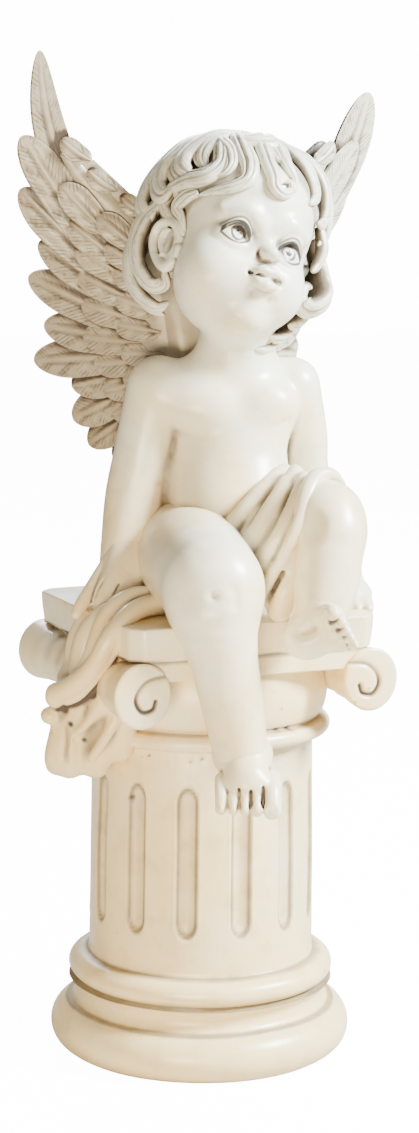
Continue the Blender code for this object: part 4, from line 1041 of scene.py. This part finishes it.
def wing(name, root, side, tan_and_shade, crest):
    """A flat plan of feathers (outward, up), each with its level over the plan, put on a bent
    sheet. root is where it leaves the back, side is 1 for the left wing, tan_and_shade is
    the wash left on it, raised as painted shade on a wing out of the light, and crest is
    the shape of its tallest feather."""
    rng = np.random.default_rng(7 if side > 0 else 5)
    finish = resin(name + " resin", 1.2, tan_and_shade, barb_lines)

    def swing(b):
        """How far the wing turns back at each height, which falls as it rises."""
        return np.radians(np.minimum(45.0, 36.0 - 0.27 * (b - 100.0))) + side * radians(24)

    def place(a, b, c):
        """From outward a, up b and forward c on the wing to figure millimetres."""
        angle = swing(b)
        cupped = c - 0.0012 * a * a
        x = root[0] + a * side * np.cos(angle) + cupped * side * np.sin(angle)
        y = root[1] + a * np.sin(angle) - cupped * np.cos(angle)
        return np.stack([x, y, b + 0 * a], -1)

    def droop(b):
        """Which way a feather points, by the height of its tip: down low, up at the top."""
        return np.radians(np.interp(b, [50, 70, 95, 125, 160, 185], [-42, -25, -4, 22, 42, 58]))

    def feather(start, tip, half, lift, bend=0.0, thick=1.5, barbs=2.6, grooves=0.4, blade=0.62,
                under=0.55, rise=0.7):
        """A profile carried along a bent line: a low dome with a raised shaft and rim, and
        grooves that slant back from the shaft, as a cosine of the length and the distance
        from the shaft. blade is the share of its length where the tip starts to round off,
        under the wash and painted shade on its underside, and rise how much further out its
        root lies."""
        start = np.asarray(start, float)
        tip = np.asarray(tip, float)
        axis = tip - start
        length = np.linalg.norm(axis)
        axis /= length
        rows = int(7 + 0.34 * length)
        tip_rows = 1 - 0.12 * (1 - np.linspace(0, 1, 9)[1:]) ** 1.8
        s = np.concatenate([np.linspace(0, 0.88, rows), tip_rows])[:, None]
        phi = pi * np.concatenate([np.linspace(0.03, 0.97, 23), np.linspace(1.15, 1.85, 3)])
        t = np.cos(phi)
        across = np.array([-axis[1], axis[0]])
        middle = start + axis * length * s + across * bend * np.sin(pi * s)
        body = np.clip(0.60 + 1.15 * s - 0.85 * s * s, 0, 1)
        body = body * (0.25 + 0.75 * np.clip(s / 0.16, 0, 1) ** 0.6)
        cap = np.sqrt(np.clip(1 - (np.clip(s - blade, 0, 1) / (1 - blade)) ** 2, 0, 1))
        front = np.sin(phi) > 0
        plan = middle[:, None] + across * (half * body * np.maximum(cap, 0.02) * t)[..., None]
        dome = np.sqrt(np.clip(1 - t * t, 0, 1))
        lower = np.clip(-t / 0.15 + 0.5, 0, 1)
        shaft = np.exp(-(t / 0.10) ** 2) * np.clip(1.05 - s, 0, 1) ** 0.4
        beside = np.exp(-((np.abs(t) - 0.22) / 0.10) ** 2) * np.clip(1 - s, 0, 1) ** 0.3
        phase = s * length / 26 * barbs + rng.random()
        phase = phase - (0.9 + 0.3 * rng.random()) * np.abs(t) * half / 8
        barb = (0.5 - 0.5 * np.cos(tau * phase)) ** 3 * grooves * (0.3 + 0.7 * lower)
        barb *= np.clip((np.abs(t) - 0.14) / 0.25, 0, 1) * np.clip((0.97 - np.abs(t)) / 0.15, 0, 1)
        barb *= np.clip((1.0 - s) / 0.06, 0, 1)
        rim = np.exp(-((np.abs(t) - 0.93) / 0.07) ** 2)
        up = thick * (0.45 + 0.55 * dome) + 0.45 * shaft - 0.35 * beside - 0.7 * barb + 0.25 * rim
        up = up - 0.7 * t * np.clip(dome * 3, 0, 1)
        level = np.where(front, up, -0.6 * dome) * np.maximum(cap, 0.2) + lift + rise * (1 - s)
        own = 0.55 * barb + 0.30 * beside + 0.16 * np.clip((t - 0.45) / 0.5, 0, 1) - 0.15 * rim
        flat = np.stack([s * length + 0 * t + 9 * rng.random(), half * body * cap * t], -1) / 10
        return plan, level, np.where(front, own + 0.06, under), flat

    def row(places, lift, step, **options):
        """Feathers whose tips are (outward, up, length, half width), lapping downwards."""
        for i, (a, b, length, half) in enumerate(places):
            start = (a - length * np.cos(droop(b)), b - length * np.sin(droop(b)))
            yield feather(start, (a, b), half, lift + step * i, **options)

    def overlaps(sheets):
        """How far each point lies under the carving round it: the mean, within 2 mm, of the
        highest levels on a 1 mm map, less the point's own level."""
        high = np.full((110, 190), -3.0)
        for plan, level, _, _ in sheets:
            i, j = (plan[..., 0] + 15).astype(int), (plan[..., 1] - 35).astype(int)
            np.maximum.at(high, (i, j), level)
        around = [np.roll(high, (i, j), (0, 1)) for i in (-1, 0, 1) for j in (-1, 0, 1)]
        high = np.maximum(high, np.where(high < -2.9, np.max(around, axis=0), high))
        reach = [np.roll(high, (i, j), (0, 1)) for i in range(-2, 3) for j in range(-2, 3)]
        mean = np.mean(reach, axis=0)
        for plan, level, own, _ in sheets:
            i, j = (plan[..., 0] + 15).astype(int), (plan[..., 1] - 35).astype(int)
            # Painted shade under higher neighbouring feathers, added to each feather's own wash
            yield own + 1.2 * np.clip((mean[i, j] - level) / 1.2, 0, 1)

    skins = []
    maps = []
    for face in (1, -1):
        sheets = [feather(lift=0.05, thick=1.9, grooves=0.2, under=0.12, rise=-0.5, **crest)]
        # The long feathers, and two shorter rows that lap over their roots
        sheets += row([(67, 184, 52, 8.2), (68, 163, 52, 9.0), (61, 142, 48, 8.6), (66, 128, 50, 8.8),
                       (61, 108, 46, 8.6), (67, 93, 48, 8.4), (51, 83, 38, 8.0), (52, 69, 38, 8.0),
                       (45, 59, 34, 7.5), (33, 53, 26, 7.0)], 1.4, -0.14)
        sheets += row([(52, 165, 26, 6.6), (49, 151, 26, 6.8), (46, 141, 26, 6.6), (45, 130, 26, 6.8),
                       (44, 118, 26, 6.8), (44, 104, 26, 6.8), (40, 93, 24, 6.6), (36, 82, 22, 6.4),
                       (33, 72, 20, 6.0)], 2.9, -0.12, barbs=3.2)
        sheets += row([(37, 153, 20, 5.6), (34, 142, 20, 5.8), (31, 132, 20, 5.8), (30, 121, 20, 5.8),
                       (30, 110, 20, 5.8), (28, 98, 19, 5.6), (27, 87, 18, 5.4), (26, 77, 16, 5.2)],
                      4.2, -0.12, barbs=3.6)
        # Coverts along the leading edge, each with its tip standing a little proud
        for a, b in ((19, 152.5), (28.2, 161), (41.4, 171), (52.0, 182.7)):
            start = (a - 11.95, b - 8.08)
            sheets.append(feather(start, (a, b), 4.3, 2.6, -0.8, 2.0))
        for (plan, level, _, flat), recess in zip(sheets, overlaps(sheets)):
            rings = to_frame(place(plan[..., 0], plan[..., 1], face * level))
            skins.append(closed_skin(rings, recess))
            maps += [flat.reshape(-1, 2), flat[:1].mean(1), flat[-1:].mean(1)]

    # The slab: rings at each level from an inner to an outer edge, thinning outwards and
    # left smooth near the back, with a rounded bar along the leading edge
    levels = np.linspace(50, 175, 60)[:, None]
    inner = np.maximum(-2, (levels - 140) * 1.1)
    outer = np.interp(levels, [50, 60, 80, 100, 130, 160, 175], [18, 32, 40, 44, 44, 44, 48])
    phi = tau * np.arange(52) / 52
    a = (inner + outer) / 2 + (outer - inner) / 2 * np.sign(np.cos(phi)) * np.abs(np.cos(phi)) ** 0.8
    taper = np.clip((levels - 46) / 14, 0.2, 1) * np.clip((179 - levels) / 10, 0.3, 1)
    thick = np.interp(a, [14, 34], [5.6, 1.6]) * taper
    level = thick * np.sign(np.sin(phi)) * np.abs(np.sin(phi)) ** 0.55
    skins.append(closed_skin(to_frame(place(a, levels + 0 * a, level)), np.full(a.shape, 0.16)))
    # The bar runs through (outward, up, half thickness, half width)
    line = smooth_path([(2, 84, 5, 8), (4, 108, 6, 11), (10, 130, 5.6, 11), (22, 147, 4.2, 8.5),
                        (34, 158, 3.2, 7), (44, 168, 2.4, 5.5), (51, 178, 1.8, 3.5)], 8)
    direction = np.gradient(line[:, :2], axis=0)
    direction /= np.linalg.norm(direction, axis=1)[:, None]
    across = np.stack([-direction[:, 1], direction[:, 0]], 1)
    plan = line[:, None, :2] + across[:, None] * (line[:, 3:] * np.cos(phi))[..., None] * 0.8
    level = line[:, 2:3] * np.sin(phi)
    rings = to_frame(place(plan[..., 0], plan[..., 1], level))
    skins.append(closed_skin(rings, np.full(rings.shape[:2], 0.14)))
    plain = sum(len(skin[0]) for skin in skins[-2:])
    add_piece(name, skins, finish, np.concatenate(maps + [np.zeros((plain, 2))]))


# Painted shade: the right wing, away from the key light, is given more tan than the lit left wing
wing("right_wing", (-7.4, 18.4), -1, 0.78, {"start": (38.5, 150), "tip": (61.5, 217), "half": 7.6,
                                           "bend": -5.0, "blade": 0.15, "barbs": 1.2})
wing("left_wing", (10.8, 26.5), 1, 0.42, {"start": (55, 146), "tip": (68.5, 204), "half": 11.4,
                                          "bend": -2.0, "blade": 0.50, "barbs": 3.4})


# The cloth: carved drapery, cast in one with the figure and the column. One fall lies over
# the left thigh, and one bunch under the right hand spills over the capital's corner, both
# in thick soft folds.
def drapery():
    """Rods pressed in from the lowest layer of cloth up to the folds, with creases cut between
    them, then painted shade and wash along the crease under the roll."""
    clay = Clay((-72, -80, -70), (66, 16, 72), 0.84)

    def folds(blend, *paths, cut=False):
        """Presses in, or cuts, a rod along each path in turn."""
        for path in paths:
            clay.rod(path, blend=blend, cut=cut)

    # Over the thigh: the layer that lies on it, the folds, and the gaps between them
    folds(3, [(20, 0, 23, 20.5), (34, -18, 35, 18.9), (39, -26, 38, 17.0)],
          [(24, -32, 36, 8), (27, -41, 20, 6.5), (31, -42, 14, 5)],
          [(36, -42, 38, 5), (34, -44, 26, 5), (31, -42, 15, 4.5)],
          [(22, -26, 44, 5), (12, -31, 31, 5)],
          [(28, -36, 42, 5), (17, -38, 29, 5), (15, -36, 18, 5)],
          [(36, -46, 24, 4.5), (31, -47, 13, 5.5), (29, -46, 5, 5)],
          [(31, -42, 38, 4.5), (24, -42, 24, 5), (20, -41, 12, 4.5), (17, -38, 4, 4)])
    folds(2.6, [(31, -12, 54, 3.6), (24, -23, 49, 3.7), (16, -30, 42, 3.4), (8, -30, 33, 3)],
          [(35, -24, 55.5, 3.2), (29, -35, 46.5, 3.4), (22, -40, 36, 3.2), (16, -42, 28, 2.8)],
          [(30, -31, 52, 1.4), (25, -37, 44, 1.9), (19, -39, 34, 1.8), (14, -40, 28, 1.5)],
          [(38, -32, 54, 3.0), (34, -42, 45.5, 3.1), (28, -46, 34, 3.0), (22, -45, 23, 2.8)],
          [(53, -33, 52, 1.6), (48.5, -34, 56, 2.6), (43, -38, 55.5, 3.4), (39, -45, 50, 3.6),
           (36.5, -49, 42, 3.5), (33.5, -51, 35, 3.3), (30.5, -51, 28, 3.0), (26, -49, 17, 2.9),
           (22, -47, 9, 2.6)],
          [(36, -48, 33, 1.6), (33, -49, 24, 2.0), (29, -48, 15, 1.8)])
    folds(2.2, [(28, -28, 55, 0.5), (21, -36.2, 43, 0.8), (13, -40.0, 33, 0.9)],
          [(34, -36, 53, 0.4), (28, -44.5, 41, 0.8), (21, -47.0, 29, 0.9)],
          [(38, -42.5, 51.5, 0.6), (32.5, -50.5, 40, 1.0), (26, -51, 25, 1.1)],
          [(30, -51, 20, 0.8), (24, -49, 8, 1.0)], cut=True)
    # Under the hand: a smooth lap over the edge, a soft fold, and the heavy roll in front
    folds(3, [(-26, -20, 1, 5), (-38, -20, -1, 5), (-45.5, -22, -6, 5.2), (-49, -23, -14, 5.4),
              (-49, -25, -22, 5.2)],
          [(-28, -34, 2, 5), (-38, -34, -1, 5.4), (-45, -32, -10, 5.6), (-47, -32, -22, 5.6)])
    folds(1.8, [(-16, -26, 6, 4.0), (-26, -33, 7.5, 3.6), (-33.5, -39, 5.0, 3.6), (-38.5, -42, -1, 3.6),
                (-41.5, -44.5, -9, 3.6), (-45, -46, -18, 3.2), (-51, -45, -25, 2.4)])
    folds(1.4, [(-12, -26, 2, 4.5), (-21, -38, 4.5, 4.2), (-28, -48, 3.0, 4.0), (-33, -54, -1.5, 3.8),
                (-37.0, -56, -7, 3.7), (-40.3, -55, -14, 3.8), (-45.0, -52, -20.5, 4.0),
                (-51, -48, -26, 4.2), (-57, -43, -29.5, 4.1)])
    folds(1.2, [(-31.5, -55, -5.0, 2.2), (-35.5, -54, -12.5, 2.5), (-40.5, -51.5, -21.0, 2.7),
                (-45.5, -48.5, -27.5, 2.7), (-51.5, -45, -32.0, 2.5)])
    folds(2, [(-33, -48, -16, 4.0), (-35, -47, -24, 4.4), (-38, -45, -32, 5)])
    clay.egg((-57.5, -42, -32), (3.6, 4, 3.6), blend=2)
    # The end that hangs below: a thin body that lies on the column, with ridges and notches
    folds(4, [(-45, -41, -30, 6), (-48, -39, -42, 6.2), (-51, -36, -54, 6.2), (-52, -34, -60, 5.6)],
          [(-38, -44, -28, 5.5), (-38, -41, -40, 6), (-40, -37, -52, 6.2), (-42, -33, -60, 5.6)],
          [(-32, -45, -32, 4), (-30.5, -42, -42, 5), (-32, -36, -53, 5)])
    folds(3, [(-52, -35, -32, 5.5), (-54.5, -35, -44, 5.0), (-57.5, -34, -56, 4.6),
              (-57.5, -32, -60.5, 4.2)])
    clay.egg((-54.5, -36, -35), (4.2, 5, 5), blend=2.5)
    folds(4, [(-52, -24, -28, 6), (-50, -24, -42, 6), (-46, -24, -54, 5)])
    folds(2.6, [(-36.5, -50.5, -27, 1.4), (-40, -49.5, -33, 1.7), (-44.5, -47.5, -40, 1.6),
                (-48.0, -45.8, -44.0, 1.2)])
    folds(3, [(-31.5, -48, -34, 1.4), (-36, -49, -43, 2.0), (-43, -45, -55, 1.8)])
    folds(1.8, [(-50.2, -44, -47, 1.1), (-51.2, -43, -52, 1.3), (-51.0, -41, -57, 1.0)])
    folds(3, [(-53.2, -42.5, -44, 0.5), (-53.4, -42.0, -50, 0.9), (-53.8, -40.5, -56, 0.5)], cut=True)
    folds(0.6, [(-32.4, -54.6, -13.2, 1.0), (-36.4, -53.4, -19.4, 1.3), (-41.6, -51.0, -27.0, 1.5),
                (-46.8, -48.0, -32.6, 1.5), (-54.0, -44.2, -36.0, 1.2)], cut=True)
    for place, size in (((-41.6, -53.0, -29.4), 1.3), ((-51.4, -46.0, -41.6), 1.5),
                        ((-49.6, -46.0, -47.6), 1.1), ((-46.0, -47.5, -47.9), 1.0)):
        clay.egg(place, (size, 2.6, size * 1.1), blend=0.8, cut=True)
    clay.egg((-59.5, -37.5, -39.6), (4.0, 4, 3.6), blend=1.5)
    points, quads, fans, recess = clay.skin(1.4, 4.2, (1.8, 0.9))
    # Painted shade under the roll and in the notches, with the wash run together there, drawn as seen
    # from the front
    roll_shade_line = smooth_path([(-31.9, -12.0), (-34.5, -16.1), (-38.6, -22.3), (-44.4, -29.8), (-48.6, -32.9),
                       (-53.3, -34.9), (-56.5, -36.5)], 8)
    local = to_figure(points)
    apart = np.sqrt(((local[:, None, [0, 2]] - roll_shade_line) ** 2).sum(-1)).min(1)
    wash = 1.1 * np.exp(-(apart / 0.75) ** 2)
    for x, z, size in ((-42.2, -29.0, 1.2), (-51.4, -41.6, 1.2), (-46.0, -47.9, 0.8),
                       (-53.6, -36.2, 1.3)):
        wash += 1.1 * np.exp(-((local[:, 0] - x) ** 2 + (local[:, 2] - z) ** 2) / size ** 2)
    recess = recess + wash * (local[:, 1] < -38)
    finish = resin("ivory resin, washed", 0.95, 0.12)
    add_piece("drapery", [(points, quads, fans, recess)], finish)


drapery()


# The stage: a plain pale floor that runs out into a white studio wall. The lamps are a cool
# key from the right, a low warm fill from the left and a soft one behind. The camera sees
# floor and wall glow white, and the statue gets little light from either.
floor = bpy.data.objects.new("floor", bpy.data.meshes.new("floor"))
floor.data.from_pydata([(-4, -4, 0), (4, -4, 0), (4, 4, 0), (-4, 4, 0)], [], [(0, 1, 2, 3)])
paint = bpy.data.materials.new("studio floor")
paint.use_nodes = True
sheet = paint.node_tree.nodes["Principled BSDF"]
sheet.inputs["Base Color"].default_value = (0.42, 0.40, 0.37, 1)
sheet.inputs["Roughness"].default_value = 0.9
seen = Wire(paint.node_tree).node("LightPath", output=0)
floor_glow = 14.0
paint.node_tree.links.new((seen * floor_glow).socket, sheet.inputs["Emission Strength"])
sheet.inputs["Emission Color"].default_value = (1.0, 1.0, 1.0, 1)
floor.data.materials.append(paint)
bpy.context.collection.objects.link(floor)


def lamp(name, place, aim, size, power, colour):
    """A round lamp at a place, turned to its aim."""
    light = bpy.data.lights.new(name, "AREA")
    light.shape = "DISK"
    light.size = size
    light.energy = power
    light.color = colour
    holder = bpy.data.objects.new(name, light)
    bpy.context.collection.objects.link(holder)
    back = unit(np.subtract(place, aim))
    right = unit(np.cross((0, 0, 1), back))
    up = np.cross(back, right)
    turn = np.eye(4)
    turn[:3, 0], turn[:3, 1], turn[:3, 2], turn[:3, 3] = right, up, back, place
    holder.matrix_world = Matrix(turn.tolist())


lamp("key", (0.80, -0.62, 0.95), (0, 0, 0.22), 0.40, 106, (0.90, 0.995, 1.0))
lamp("fill", (-0.42, -0.62, 0.02), (0, 0, 0.11), 0.35, 14.5, (1.0, 0.83, 0.52))
lamp("back", (0.3, 1.0, 0.9), (0, 0, 0.25), 0.8, 26.0, (0.93, 0.975, 1.0))
world = bpy.data.worlds.new("studio")
bpy.context.scene.world = world
world.use_nodes = True
backdrop = world.node_tree.nodes["Background"]
backdrop.inputs["Color"].default_value = (1.0, 1.0, 1.0, 1)
seen = Wire(world.node_tree).node("LightPath", output=0)
wall_glow = 14.6
wall_light = 0.22
world.node_tree.links.new((seen * wall_glow + wall_light).socket, backdrop.inputs["Strength"])


# The camera stands where the photo's did: about a metre away, level with the figure's head,
# looking down 9 degrees past the capital's corner.
pitch = radians(-8.92)
yaw = radians(0.11)
roll = radians(0.67)
round_statue = radians(-23.9)
focal_pixels = 2597.8
photo_height = 1133
sensor = 36
ahead = np.array([sin(yaw) * cos(pitch), cos(yaw) * cos(pitch), sin(pitch)])
right = np.array([cos(yaw), -sin(yaw), 0.0])
up = np.cross(right, ahead)
tilted = np.stack([cos(roll) * right + sin(roll) * up, cos(roll) * up - sin(roll) * right, -ahead], 1)
heading = np.array([[cos(round_statue), -sin(round_statue), 0],
                    [sin(round_statue), cos(round_statue), 0],
                    [0, 0, 1]])
stand = np.eye(4)
stand[:3, :3] = heading @ tilted
stand[:3, 3] = heading @ (0.0, -1.0310, 0.35924)
camera = bpy.data.objects.new("camera", bpy.data.cameras.new("camera"))
bpy.context.collection.objects.link(camera)
camera.matrix_world = Matrix(stand.tolist())
camera.data.sensor_width = sensor
camera.data.lens = focal_pixels * sensor / photo_height
bpy.context.scene.camera = camera
